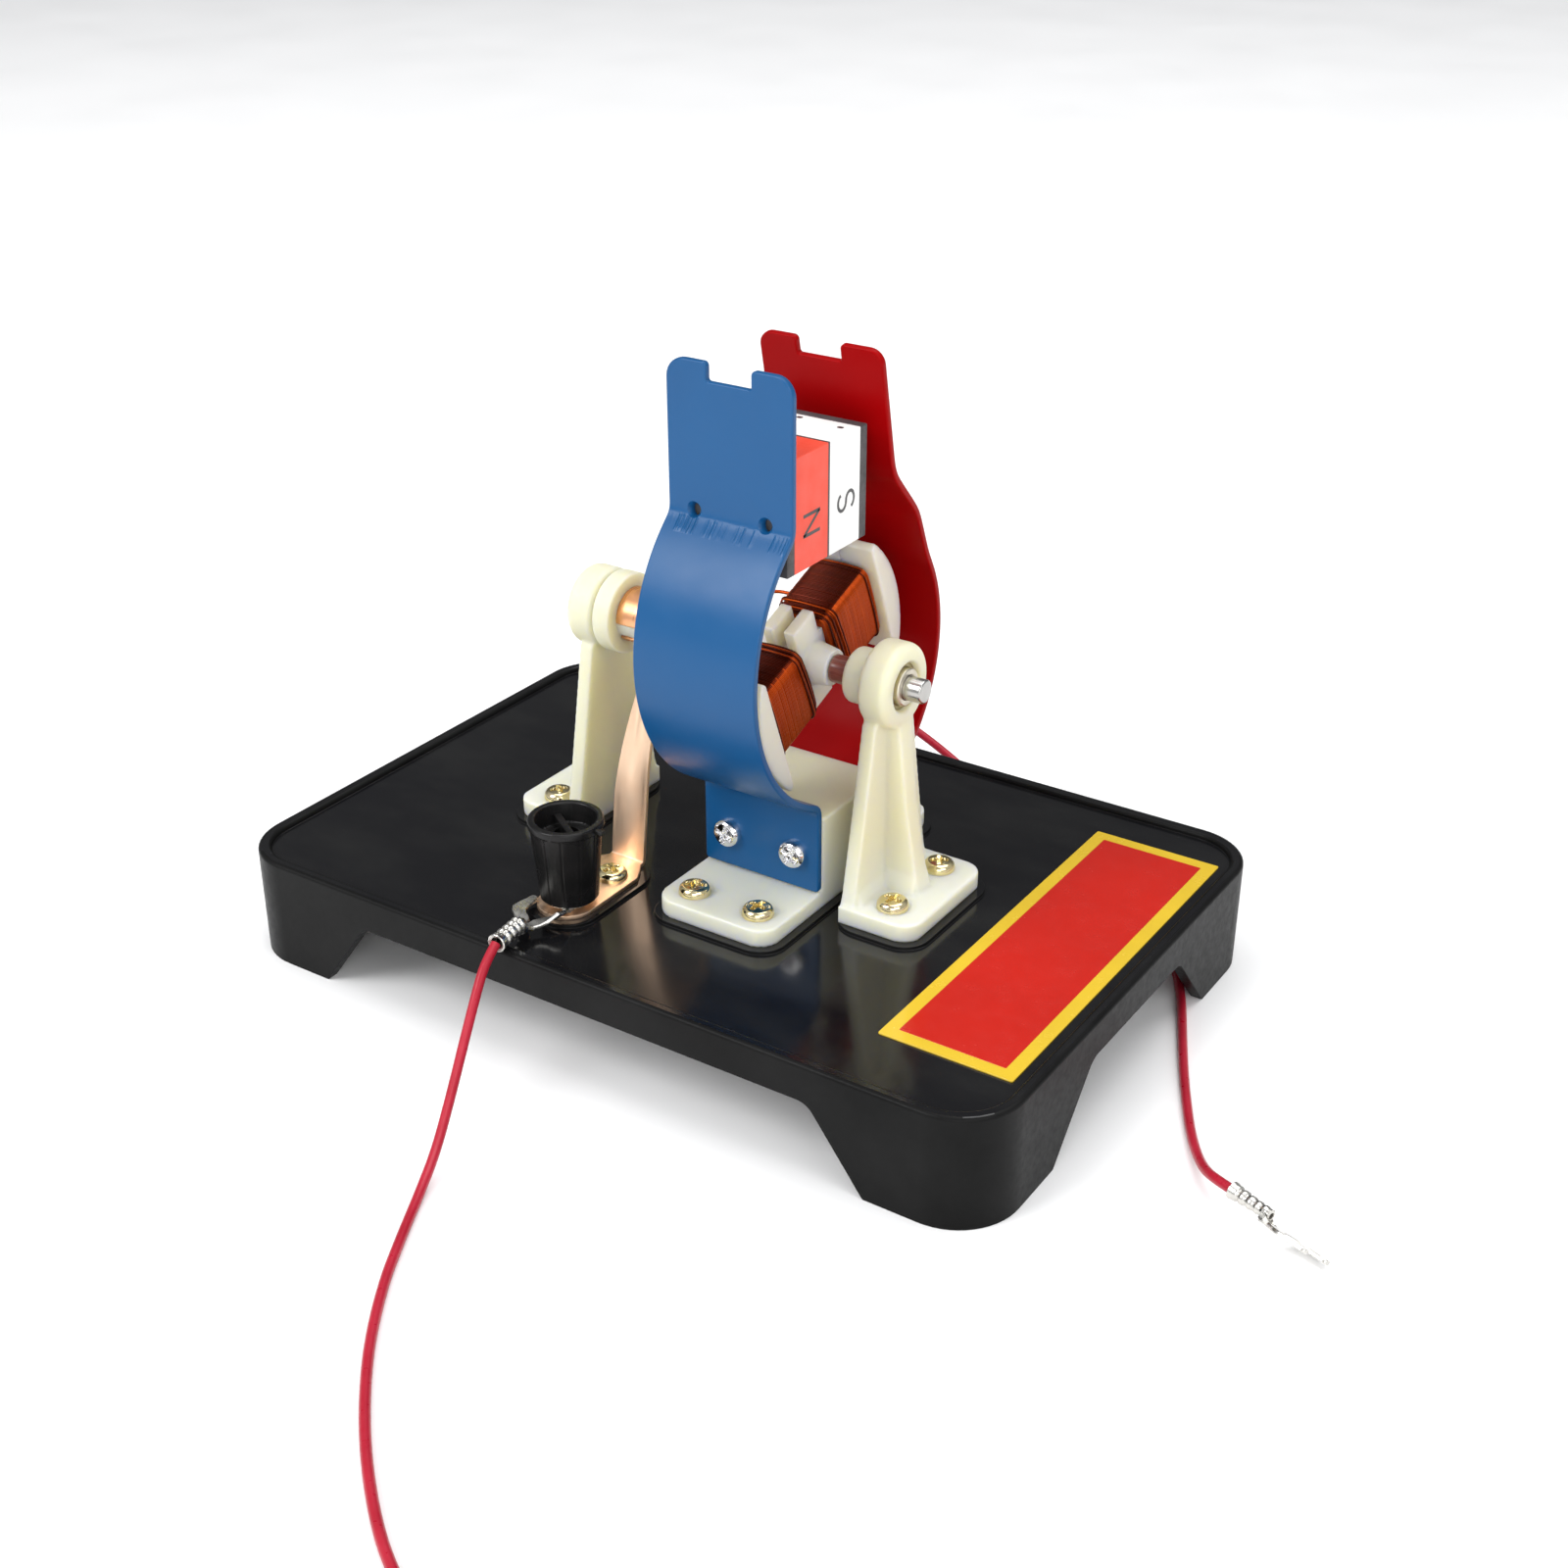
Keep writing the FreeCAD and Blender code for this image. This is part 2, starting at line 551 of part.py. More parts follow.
dress(blue, "Fillet", dim(0.8), lambda e: along(e, (1, 0, 0)) and (
    abs(mid(e).z - arc_z(cy, cz, ro, yo, 1).v) < 0.05 or abs(mid(e).z - arc_z(cy, cz, ro, -foot_out, -1).v) < 0.05))
keep(blue, "pole_piece_blue")

red = new_body("PolePieceRed")
cy2, cz2, ro2 = S("red_cy"), S("red_cz"), S("red_radius")
ri2 = ro2 - t
zb = S("red_bend_z")
sk = new_sketch(red, "YZ_Plane", S("pole_x0"))
loop(sk, [
    (foot_out, S("strip_bottom")),
    (foot_out, arc_z(cy2, cz2, ro2, foot_out, -1), cy2, cz2, True),
    (arc_y(cy2, cz2, ro2, zb, 1), zb),
    (S("red_mid_y"), S("red_mid_z")),
    (S("red_crease_y"), S("red_crease_z")),
    (S("red_top_y"), S("red_top")),
    (S("red_top_y") - t, S("red_top")),
    (S("red_crease_y") - t, S("red_crease_z") - 0.75),
    (S("red_mid_y") - 0.95, S("red_mid_z") - 0.75),
    (arc_y(cy2, cz2, ri2, zb - 0.5, 1), zb - 0.5, cy2, cz2, False),
    (foot_in, arc_z(cy2, cz2, ri2, foot_in, -1)),
    (foot_in, S("strip_bottom")),
])
pad(red, sk, S("pole_length"))
finish_strip(red, S("red_top"), 1, S("red_ear"), S("red_notch_shift"))
dress(red, "Fillet", dim(3.0), lambda e: along(e, (1, 0, 0)) and (
    abs(mid(e).z - S("red_mid_z").v) < 0.8 or abs(mid(e).z - zb.v) < 0.6))
keep(red, "pole_piece_red")


# ---------------------------------------------------------------- magnet
def block(name, x0, y0, z0, lx, ly, lz, label=None):
    o = doc.addObject("Part::Box", name)
    bind(o, Length=lx, Width=ly, Height=lz)
    place(o, x0, y0, z0)
    return keep(o, label) if label else o


mx, my, mz = S("magnet_x0"), S("magnet_y0"), S("magnet_bottom")
ml, mw, mh = S("magnet_length"), S("magnet_width"), S("magnet_top") - S("magnet_bottom")
mp, wt = S("magnet_plate"), S("wrap_thick")
block("MagnetPlateNear", mx, my, mz, ml, mp, mh, "magnet_plate_near")
block("MagnetPlateFar", mx, my + mw - mp, mz, ml, mp, mh, "magnet_plate_far")
block("MagnetCore", mx + wt, my + mp, mz + wt, ml - wt * 2, mw - mp * 2, mh - wt * 2, "magnet_core")
wo = block("WrapOuter", mx, my + mp, mz, ml, mw - mp * 2, mh)
wi = block("WrapInner", mx + wt, my + mp, mz + wt, ml - wt * 2, mw - mp * 2, mh - wt * 2)
wrap = doc.addObject("Part::Cut", "MagnetWrap")
wrap.Base, wrap.Tool = wo, wi
keep(wrap, "magnet_wrap")

# ---------------------------------------------------------------- armature, drawn with its arm along Y
xc = S("arm_x")


def on_armature(o, label):
    """Turns a piece drawn about the X axis to the resting angle and lifts it to the shaft line."""
    place(o, 0, 0, S("axis_z"), (1, 0, 0), S("arm_angle").v)
    return keep(o, label)


core = new_body("ArmatureCore")
sk = new_sketch(core, "YZ_Plane", xc - S("stack_half"))
R, sa = S("stack_radius"), S("shoe_angle")
yr, zr = R * cosd(sa), R * sind(sa)
ys, wh = S("stack_shoe"), S("web_half")
loop(sk, [
    (-ys, wh), (ys, wh), (ys, zr - 1.5), (yr, zr, 0, 0, False), (yr, -zr), (ys, -zr + 1.5), (ys, -wh),
    (-ys, -wh), (-ys, -zr + 1.5), (-yr, -zr, 0, 0, False), (-yr, zr), (-ys, zr - 1.5),
])
pad(core, sk, S("stack_half") * 2)
sk = new_sketch(core, "YZ_Plane", xc - S("stack_half") - 1)
circle(sk, 0, 0, S("shaft_radius"))
pocket(core, sk, S("stack_half") * 2 + 2, reverse=True)
on_armature(core, "armature_core")


def former(name, label, turned):
    """Half of the moulded coil former: cheeks, web sleeve, hub block and nose, open to the steel core."""
    b = new_body(name)
    fw, fh = S("former_web"), S("former_half")
    cf, ar, ca = S("cheek_flat"), S("arm_radius"), S("cheek_angle")
    sk = new_sketch(b, "YZ_Plane")
    hy, hz = S("hub_half_y"), S("hub_half_z")
    loop(sk, [(-cf - 0.5, -fw), (-hy, -fw), (-hy, -hz), (hy, -hz), (hy, -fw), (cf + 0.5, -fw),
              (cf + 0.5, fw), (hy, fw), (hy, hz), (-hy, hz), (-hy, fw), (-cf - 0.5, fw)])
    pad(b, sk, fh)
    for s in (-1, 1):
        sk = new_sketch(b, "YZ_Plane")
        yo, zo = ar * cosd(ca) * s, ar * sind(ca) * s
        loop(sk, [(cf * s, -zo + 0.9 * s), (yo, -zo, 0, 0, True), (yo, zo), (cf * s, zo - 0.9 * s)])
        pad(b, sk, S("cheek_half"))
    for s in (-1, 1):
        # the hub block is thinner than the web, so a slot stays open between the two halves
        sk = new_sketch(b, "YZ_Plane")
        rect(sk, -hy - 1, (fw if s > 0 else -hz - 1), hy + 1, (hz + 1 if s > 0 else -fw))
        pocket(b, sk, S("wing_gap"), reverse=True)
    # conical nose round the shaft
    sk = new_sketch(b, "XZ_Plane")
    loop(sk, [(fh - 1, 0), (S("nose_end"), 0), (S("nose_end"), S("nose_small")), (fh, S("nose_large")), (fh - 1, S("nose_large"))])
    f = b.newObject("PartDesign::Revolution", name + "Nose")
    f.Profile = sk
    f.ReferenceAxis = (sk, ["H_Axis"])
    f.Angle = 360.0
    b.Tip = f
    doc.recompute()
    # pocket for the steel core
    sk = new_sketch(b, "YZ_Plane")
    far = ar + 1
    loop(sk, [(-ys, wh), (ys, wh), (ys, zr - 1.5), (yr, zr), (far, zr), (far, -zr), (yr, -zr), (ys, -zr + 1.5), (ys, -wh),
              (-ys, -wh), (-ys, -zr + 1.5), (-yr, -zr), (-far, -zr), (-far, zr), (-yr, zr), (-ys, zr - 1.5)])
    pocket(b, sk, S("stack_half"), reverse=True)
    sk = new_sketch(b, "YZ_Plane", -1)
    circle(sk, 0, 0, S("shaft_radius"))
    pocket(b, sk, S("nose_end") + 2, reverse=True)
    if turned:
        place(b, xc, 0, S("axis_z"))
        b.Placement.Rotation = Rotation(V(1, 0, 0), S("arm_angle").v).multiply(Rotation(V(0, 0, 1), 180.0))
    else:
        place(b, xc, 0, S("axis_z"), (1, 0, 0), S("arm_angle").v)
    return keep(b, label)


former("FormerFront", "coil_former_front", False)
former("FormerRear", "coil_former_rear", True)


def winding(name, label, side):
    """Wound coil round one arm: rounded outside, square opening, eased edges at the hub end."""
    b = new_body(name)
    y0, y1 = S("coil_inner_y"), S("coil_outer_y")
    # on the XZ plane the sketch normal points along -Y
    sk = new_sketch(b, "XZ_Plane", -y1)
    rounded(sk, S("coil_half_x"), S("coil_half_z"), S("coil_corner"), xc, 0)
    pad(b, sk, y1 - y0)
    sk = new_sketch(b, "XZ_Plane", -y1 - 1)
    rect(sk, xc - S("former_half"), -S("former_web"), xc + S("former_half"), S("former_web"))
    pocket(b, sk, y1 - y0 + 2, reverse=True)
    dress(b, "Chamfer", dim(1.6), lambda e: abs(e.BoundBox.YMin - y0.v) < 1e-4 and abs(e.BoundBox.YMax - y0.v) < 1e-4
          and max(abs(mid(e).x - xc.v) - S("former_half").v, abs(mid(e).z) - S("former_web").v) > 0.5)
    place(b, 0, 0, S("axis_z"), (1, 0, 0), S("arm_angle").v + (0.0 if side > 0 else 180.0))
    return keep(b, label)


winding("Coil1", "coil_far", 1)
winding("Coil2", "coil_near", -1)

shaft = doc.addObject("Part::Cylinder", "Shaft")
bind(shaft, Radius=S("shaft_radius"), Height=S("shaft_front") - S("shaft_rear"))
place(shaft, S("shaft_rear"), 0, S("axis_z"), (0, 1, 0), 90.0)
keep(shaft, "shaft")

ring("Sleeve", S("sleeve_radius"), S("shaft_radius"), S("sleeve_x1") - S("sleeve_x0"), S("sleeve_x0"), "spacer_sleeve")
ring("StopCollar", S("stop_radius"), S("shaft_radius"), S("stop_x1") - S("stop_x0"), S("stop_x0"), "stop_collar")
ring("ThrustWasher", S("washer_radius"), S("shaft_radius"), S("washer_x1") - S("washer_x0"), S("washer_x0"), "thrust_washer")

# ---------------------------------------------------------------- commutator
cc = new_body("CommutatorCore")
sk = new_sketch(cc, "YZ_Plane", S("comm_rear"))
circle(sk, 0, 0, S("comm_disc_radius"))
pad(cc, sk, S("comm_disc") - S("comm_rear"))
sk = new_sketch(cc, "YZ_Plane", S("comm_disc"))
rc, rr, ga = S("comm_core_radius"), S("comm_rib_radius"), S("comm_gap")
rb = rc - 0.4
circle(sk, 0, 0, rc)
pad(cc, sk, S("comm_front") - S("comm_disc"))
for s in (1, -1):
    # insulating rib in each gap between the segments
    sk = new_sketch(cc, "YZ_Plane", S("comm_disc"))
    loop(sk, [(rb * cosd(ga) * s, -(rb * sind(ga)) * s), (rr * cosd(ga) * s, -(rr * sind(ga)) * s, 0, 0, True),
              (rr * cosd(ga) * s, rr * sind(ga) * s), (rb * cosd(ga) * s, rb * sind(ga) * s)])
    pad(cc, sk, S("comm_front") - S("comm_disc"))
sk = new_sketch(cc, "YZ_Plane", S("comm_rear") - 1)
circle(sk, 0, 0, S("shaft_radius"))
pocket(cc, sk, S("comm_front") - S("comm_rear") + 2, reverse=True)
on_armature(cc, "commutator_core")


def segment(name, label, s):
    b = new_body(name)
    ro, a = S("comm_radius"), S("comm_gap") + 1.2
    ry, rz = sind(a), cosd(a)
    sk = new_sketch(b, "YZ_Plane", S("comm_disc"))
    # the ring sector spans the side of the barrel between the two ribs
    loop(sk, [(rc * cosd(a) * s, rc * sind(a) * s), (ro * cosd(a) * s, ro * sind(a) * s, 0, 0, True),
              (-(ro * cosd(a)) * s, ro * sind(a) * s), (-(rc * cosd(a)) * s, rc * sind(a) * s, 0, 0, False)])
    pad(b, sk, S("comm_front") - S("comm_disc"))
    return on_armature(b, label)


segment("Segment1", "commutator_segment_upper", 1)
segment("Segment2", "commutator_segment_lower", -1)


# ---------------------------------------------------------------- wires and tubes
def tube_path(pts):
    """Straight runs joined by tangent arcs, each as large as its runs allow."""
    P = [V(*p) for p in pts]
    edges, cur, radii = [], P[0], []
    for i in range(1, len(P) - 1):
        a, b, c = P[i - 1], P[i], P[i + 1]
        u, w_ = (b - a), (c - b)
        lu, lw = u.Length, w_.Length
        u.normalize()
        w_.normalize()
        turn = math.acos(max(-1.0, min(1.0, u.dot(w_))))
        cut = 0.45 * min(lu, lw)
        r = cut / math.tan(turn / 2)
        radii.append(r)
        s_, e_ = b - u * cut, b + w_ * cut
        bis = (w_ - u)
        bis.normalize()
        centre = b + bis * (r / math.cos(turn / 2))
        m_ = centre + (b - centre).normalize() * r
        edges.append(Part.LineSegment(cur, s_).toShape())
        edges.append(Part.Arc(s_, m_, e_).toShape())
        cur = e_
    edges.append(Part.LineSegment(cur, P[-1]).toShape())
    return Part.Wire(edges), radii


def tube(pts, radius):
    path, radii = tube_path(pts)
    d = V(*pts[1]) - V(*pts[0])
    prof = Part.Wire([Part.Circle(V(*pts[0]), d, radius).toShape()])
    shape = path.makePipeShell([prof], True, False)
    want = math.pi * radius ** 2 * path.Length
    if abs(shape.Volume - want) > 0.02 * want:
        raise RuntimeError("tube volume %.2f, wanted %.2f" % (shape.Volume, want))
    return shape, path.Length, radii


def tube_feature(name, label, routes, radius):
    solids = []
    for pts in routes:
        s_, length, radii = tube(pts, radius)
        print("%s: length %.1f mm, volume %.2f of %.2f, radii %s" % (
            label, length, s_.Volume, math.pi * radius ** 2 * length, " ".join("%.1f" % r for r in radii)))
        solids.append(s_)
    o = doc.addObject("Part::Feature", name)
    o.Shape = solids[0] if len(solids) == 1 else Part.makeCompound(solids)
    o.Placement = Placement()
    return keep(o, label)


# coil ends led back along the shaft to the two commutator segments
aa = math.radians(S("arm_angle").v)


def arm_point(x, y, z):
    """A point drawn with the arm along Y, turned to its resting place."""
    return (x, y * math.cos(aa) - z * math.sin(aa), S("axis_z").v + y * math.sin(aa) + z * math.cos(aa))


lead_r = 0.3
x_coil, x_seg = (xc - S("coil_half_x")).v, S("comm_front").v
tube_feature("CoilLeads", "coil_leads", [
    [arm_point(x_coil, 9.0 * s_, 4.8 * s_), arm_point(x_coil - 3.5, 8.6 * s_, 5.0 * s_), arm_point(x_coil - 9.0, 2.6 * s_, 4.8 * s_),
     arm_point(x_seg, 0.4 * s_, 4.25 * s_)] for s_ in (1, -1)], lead_r)

# ---------------------------------------------------------------- brushes, drawn as the far one and turned for the near one
tk = S("strap_thick")


def brush(name, label, near):
    """Copper strap: round-nosed foot under the knob, bent up to lean on the commutator."""
    b = new_body(name)
    x0, x1 = (S("foot_x0"), S("foot_x1"))
    s = -1 if near else 1
    nose, bend = S("foot_nose") * s, S("foot_bend") * s
    rn = (x1 - x0) / 2
    cxn = (x0 + x1) / 2
    sk = new_sketch(b, "XY_Plane", island)
    bx0, bx1 = S("brush_x0"), S("brush_x1")
    # the strip end is narrower than the foot, and the corner between them is cut off
    loop(sk, [(bx0, bend), (bx1, bend), (bx1, bend + 1.4 * s), (bx1 + 0.9, bend + 2.75 * s), (x1, bend + 5.4 * s),
              (x1, nose - rn * s, cxn, nose - rn * s, s > 0), (x0, nose - rn * s), (x0, bend + 2.9 * s), (bx0, bend + 1.4 * s)])
    pad(b, sk, tk)
    # strip: nearly upright to the knee, then leaning on the commutator
    sk = new_sketch(b, "YZ_Plane", bx0)
    ty, tz, ky, kz = S("brush_top_y"), S("brush_top_z"), S("knee_y"), S("knee_z")
    loop(sk, [(bend, island), (bend + 1.35 * s, island), (bend + 1.35 * s, island + tk), (bend + 0.8 * s, island + tk + 0.5),
              ((ky + tk) * s, kz), ((ty + tk * 0.919) * s, tz + tk * 0.394), (ty * s, tz), (ky * s, kz)])
    pad(b, sk, bx1 - bx0)
    # the rear edge draws in towards the tip
    sk = new_sketch(b, "XZ_Plane", -60)
    loop(sk, [(bx0 - 1, kz - 8), (bx0, kz - 8), (bx0 + S("brush_taper"), kz + 10.5), (bx0 + S("brush_taper"), tz + 3), (bx0 - 1, tz + 3)])
    pocket(b, sk, dim(120), reverse=True)
    for x, y, r in ((S("brush_screw_x"), S("brush_screw_y") * s, S("screw_shank") + 0.1), (S("post_x"), S("post_y") * s, S("stud_radius") + 0.05)):
        sk = new_sketch(b, "XY_Plane", island - 1)
        circle(sk, x, y, r)
        pocket(b, sk, tk + 2, reverse=True)
    place(b)
    return keep(b, label)


brush("BrushNear", "brush_near", True)
brush("BrushFar", "brush_far", False)

foot_top = island + tk


def studs():
    parts_ = []
    for k, s in enumerate((-1, 1)):
        shank = doc.addObject("Part::Cylinder", "StudShank%d" % k)
        bind(shank, Radius=S("stud_radius"), Height=S("stud_top") - bb)
        place(shank, S("post_x"), S("post_y") * s, bb)
        head = doc.addObject("Part::Prism", "StudHead%d" % k)
        head.Polygon = 6
        bind(head, Circumradius=S("stud_head_radius"), Height=panel - S("panel_thick") - bb)
        place(head, S("post_x"), S("post_y") * s, bb)
        f = doc.addObject("Part::Fuse", "Stud%d" % k)
        f.Base, f.Tool = shank, head
        parts_.append(f)
    c = doc.addObject("Part::Compound", "TerminalStuds")
    c.Links = parts_
    return keep(c, "terminal_studs")


studs()


def knob(name, label, s):
    b = new_body(name)
    kb, kt = S("knob_bottom"), S("knob_top")
    rb_, rt, bore = S("knob_r_bottom"), S("knob_r_top"), S("knob_bore")
    rec, dep = S("knob_recess_radius"), S("knob_recess_depth")
    sk = new_sketch(b, "XZ_Plane")
    loop(sk, [(bore, kb), (rb_, kb), (rb_ + 0.25, kb + 0.6), (rt, kt - 0.8), (rt - 0.5, kt), (rec, kt), (rec, kt - dep), (bore, kt - dep)])
    f = b.newObject("PartDesign::Revolution", name + "Turned")
    f.Profile = sk
    f.ReferenceAxis = (sk, ["V_Axis"])
    f.Angle = 360.0
    b.Tip = f
    doc.recompute()
    before = b.Shape.Volume
    # finger flutes
    sk = new_sketch(b, "XY_Plane", kb - 1)
    circle(sk, rt + 0.75, 0, 1.2)
    pocket(b, sk, kt - kb - 1.2, reverse=True)
    flute = b.Tip
    pp = b.newObject("PartDesign::PolarPattern", name + "Flutes")
    pp.Originals = [flute]
    pp.Axis = ([f_ for f_ in b.Origin.OriginFeatures if f_.Role == "Z_Axis"][0], [""])
    pp.Angle = 360.0
    pp.Occurrences = int(S("flute_count").v)
    pp.setExpression("Occurrences", "Dims.flute_count")
    b.Tip = pp
    doc.recompute()
    if b.Shape.Volume >= before:
        raise RuntimeError("flutes cut nothing")
    place(b, S("post_x"), S("post_y") * s, 0)
    return keep(b, label)


knob("KnobNear", "terminal_knob_near", -1)
knob("KnobFar", "terminal_knob_far", 1)


def flat_washer(name, label, s):
    o = doc.addObject("Part::Cylinder", name + "Outer")
    bind(o, Radius=S("washer_outer"), Height=S("washer_thick"))
    i = doc.addObject("Part::Cylinder", name + "Inner")
    bind(i, Radius=S("knob_bore"), Height=S("washer_thick"))
    c = doc.addObject("Part::Cut", name)
    c.Base, c.Tool = o, i
    place(c, S("post_x"), S("post_y") * s, S("knob_bottom") - S("washer_thick"))
    return keep(c, label)


flat_washer("WasherNear", "clamp_washer_near", -1)
flat_washer("WasherFar", "clamp_washer_far", 1)


# ---------------------------------------------------------------- screws
def screw(name, head_r, length):
    """Pan-head cross-recess screw, head up, with its seat at z = 0."""
    b = new_body(name)
    hh = S("screw_head_height")
    sk = new_sketch(b, "XZ_Plane")
    loop(sk, [(0, -length), (S("screw_shank"), -length + 0.6), (S("screw_shank"), 0), (head_r, 0), (head_r, 0.55),
              (head_r * 0.62, hh), (0, hh)])
    f = b.newObject("PartDesign::Revolution", name + "Turned")
    f.Profile = sk
    f.ReferenceAxis = (sk, ["V_Axis"])
    f.Angle = 360.0
    b.Tip = f
    doc.recompute()
    sk = new_sketch(b, "XY_Plane", hh)
    a, l = S("slot_half"), S("slot_reach")
    loop(sk, [(-l, -a), (-a, -a), (-a, -l), (a, -l), (a, -a), (l, -a), (l, a), (a, a), (a, l), (-a, l), (-a, a), (-l, a)])
    pocket(b, sk, S("slot_depth"))
    return b


def screw_group(name, label, spots, head_r, length):
    links = []
    for k, (x, y, z, axis, angle) in enumerate(spots):
        b = screw("%s%d" % (name, k), head_r, length)
        place(b, x, y, z, axis, angle)
        links.append(b)
    c = doc.addObject("Part::Compound", name)
    c.Links = links
    return keep(c, label)


spots = []
for k, (x, y) in enumerate(flange_holes):
    z = S("pole_flange_top") if k < 4 else S("flange_top")
    spots.append((x, y, z, (0, 0, 1), 20.0 + 37.0 * k))
screw_group("FlangeScrew", "flange_screws", spots, S("screw_head"), S("screw_length"))
screw_group("BrushScrew", "brush_screws", [(x, y, foot_top, (0, 0, 1), 15.0 + 50 * k) for k, (x, y) in enumerate(brush_holes)],
            S("screw_head"), S("screw_length") - 2.2)
screw_group("SideScrew", "pole_screws", [
    (pole_cx + S("side_screw_x") * a, foot_out * s, S("side_screw_z"), (1, 0, 0), -90.0 * s) for a in (-1, 1) for s in (-1, 1)],
    S("side_screw_head"), S("side_screw_length"))


# ---------------------------------------------------------------- fork terminals
def fork(name, label, x, y, z, angle, roll=0.0):
    """Fork terminal: prongs towards +Y, ahead of the crimped barrel that starts at the origin. Its roll is about the barrel's axis."""
    b = new_body(name)
    ft, fh, fs, fp, fn = S("fork_thick"), S("fork_half"), S("fork_slot"), S("fork_prong"), S("fork_neck")
    br, bl = S("barrel_radius"), S("barrel_length")
    y0 = bl + 1.2
    sk = new_sketch(b, "XY_Plane")
    loop(sk, [(-fn, bl - 1), (fn, bl - 1), (fn, y0), (fh, y0 + 3.0), (fh - 0.5, y0 + 3.0 + fp), (fs, y0 + 3.0 + fp),
              (fs, y0 + 4.0), (fs - 1.2, y0 + 2.4), (-(fs - 1.2), y0 + 2.4), (-fs, y0 + 4.0), (-fs, y0 + 3.0 + fp),
              (-(fh - 0.5), y0 + 3.0 + fp), (-fh, y0 + 3.0), (-fn, y0)])
    pad(b, sk, ft)
    # barrel about the Y axis, sitting level with the underside of the prongs
    sk = new_sketch(b, "XZ_Plane", 0)
    circle(sk, 0, br, br)
    pad(b, sk, bl, reverse=True)
    turn = Rotation(V(0, 0, 1), angle).multiply(Rotation(V(0, 1, 0), roll))
    axis = V(0, 0, br.v)
    b.Placement = Placement(V(x, y, z) + axis - turn.multVec(axis), turn)
    return keep(b, label)


seat_z = foot_top.v
rb_v = S("barrel_radius").v
# near terminal, clamped lightly under the near knob
fork("ForkNear", "fork_terminal_near", -13.6, -51.2, seat_z, 6.3)
# far terminal, the same on the other side
fork("ForkFar", "fork_terminal_far", -13.8, 51.2, seat_z, 180.0)


# ---------------------------------------------------------------- wires
lift = seat_z + rb_v
WIRE_NEAR = [
    (-13.6, -51.2, lift), (-13.2, -54.6, 20.2), (-12.0, -58.5, 16.6), (-9.6, -64.5, 12.2), (-6.4, -71.8, 7.4), (-3.4, -79.0, 2.9),
    (-0.3, -86.6, 0.8), (3.6, -94.3, 0.8), (9.2, -104.7, 0.8), (18.0, -117.2, 0.8), (30.5, -130.4, 0.8), (45.0, -141.5, 0.8),
    (62.0, -147.5, 0.8), (79.0, -147.5, 0.8), (95.5, -144.8, 0.8),
]
WIRE_FAR = [
    (-13.8, 51.2, lift), (-13.6, 57.6, 21.4), (-8.0, 63.6, 17.8), (2.0, 65.4, 12.2), (13.0, 64.4, 6.6), (24.0, 61.4, 2.4), (34.5, 57.4, 0.8),
    (45.6, 51.6, 0.8), (57.4, 44.4, 0.8), (66.4, 35.6, 0.8), (72.4, 25.2, 0.8), (77.2, 14.6, 0.8), (82.0, 4.4, 0.8), (85.4, -2.2, 0.8),
    (88.6, -8.2, 0.9), (92.0, -13.9, 1.6), (95.4, -18.8, 2.9), (98.6, -21.9, 4.4), (101.4, -22.9, 4.5),
]
wr = S("wire_radius").v
tube_feature("WireNear", "wire_near", [WIRE_NEAR], wr)
tube_feature("WireFar", "wire_far", [WIRE_FAR], wr)


def ahead(route, d):
    a, b = V(*route[-2]), V(*route[-1])
    u = (b - a).normalize()
    return b + u * d


# loose ends: one lies flat, the other leans on the edge of one prong
def fork_on(route, name, label, z=0.0, roll=0.0):
    p, q = V(*route[-1]), ahead(route, 10)
    ang = math.degrees(math.atan2(q.y - p.y, q.x - p.x)) - 90.0
    return fork(name, label, p.x, p.y, z, ang, roll)


fork_on(WIRE_NEAR, "ForkLooseNear", "fork_terminal_loose_near")
fork_on(WIRE_FAR, "ForkLooseFar", "fork_terminal_loose_far", WIRE_FAR[-1][2] - rb_v, -41.7)

# ---------------------------------------------------------------- checks and export
doc.recompute()
bad = []
for o in doc.Objects:
    if "Invalid" in o.State or "Error" in o.State:
        bad.append("%s %s" % (o.Name, o.State))
for o in nodes:
    if o.Shape.isNull() or not o.Shape.isValid():
        bad.append("%s shape" % o.Label)
    elif not o.Shape.Solids:
        bad.append("%s holds no solid" % o.Label)
    else:
        bb_ = o.Shape.BoundBox
        print("%-28s solids %d  x %.2f %.2f  y %.2f %.2f  z %.2f %.2f  vol %.1f" % (
            o.Label, len(o.Shape.Solids), bb_.XMin, bb_.XMax, bb_.YMin, bb_.YMax, bb_.ZMin, bb_.ZMax, o.Shape.Volume))
if bad:
    raise RuntimeError("; ".join(bad))

os.makedirs("parts", exist_ok=True)
for o in nodes:
    o.Shape.exportStep("parts/%s.step" % o.Label)
print("wrote %d parts" % len(nodes))
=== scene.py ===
import math
import random

import bmesh
import bpy
from mathutils import Matrix, Vector, noise


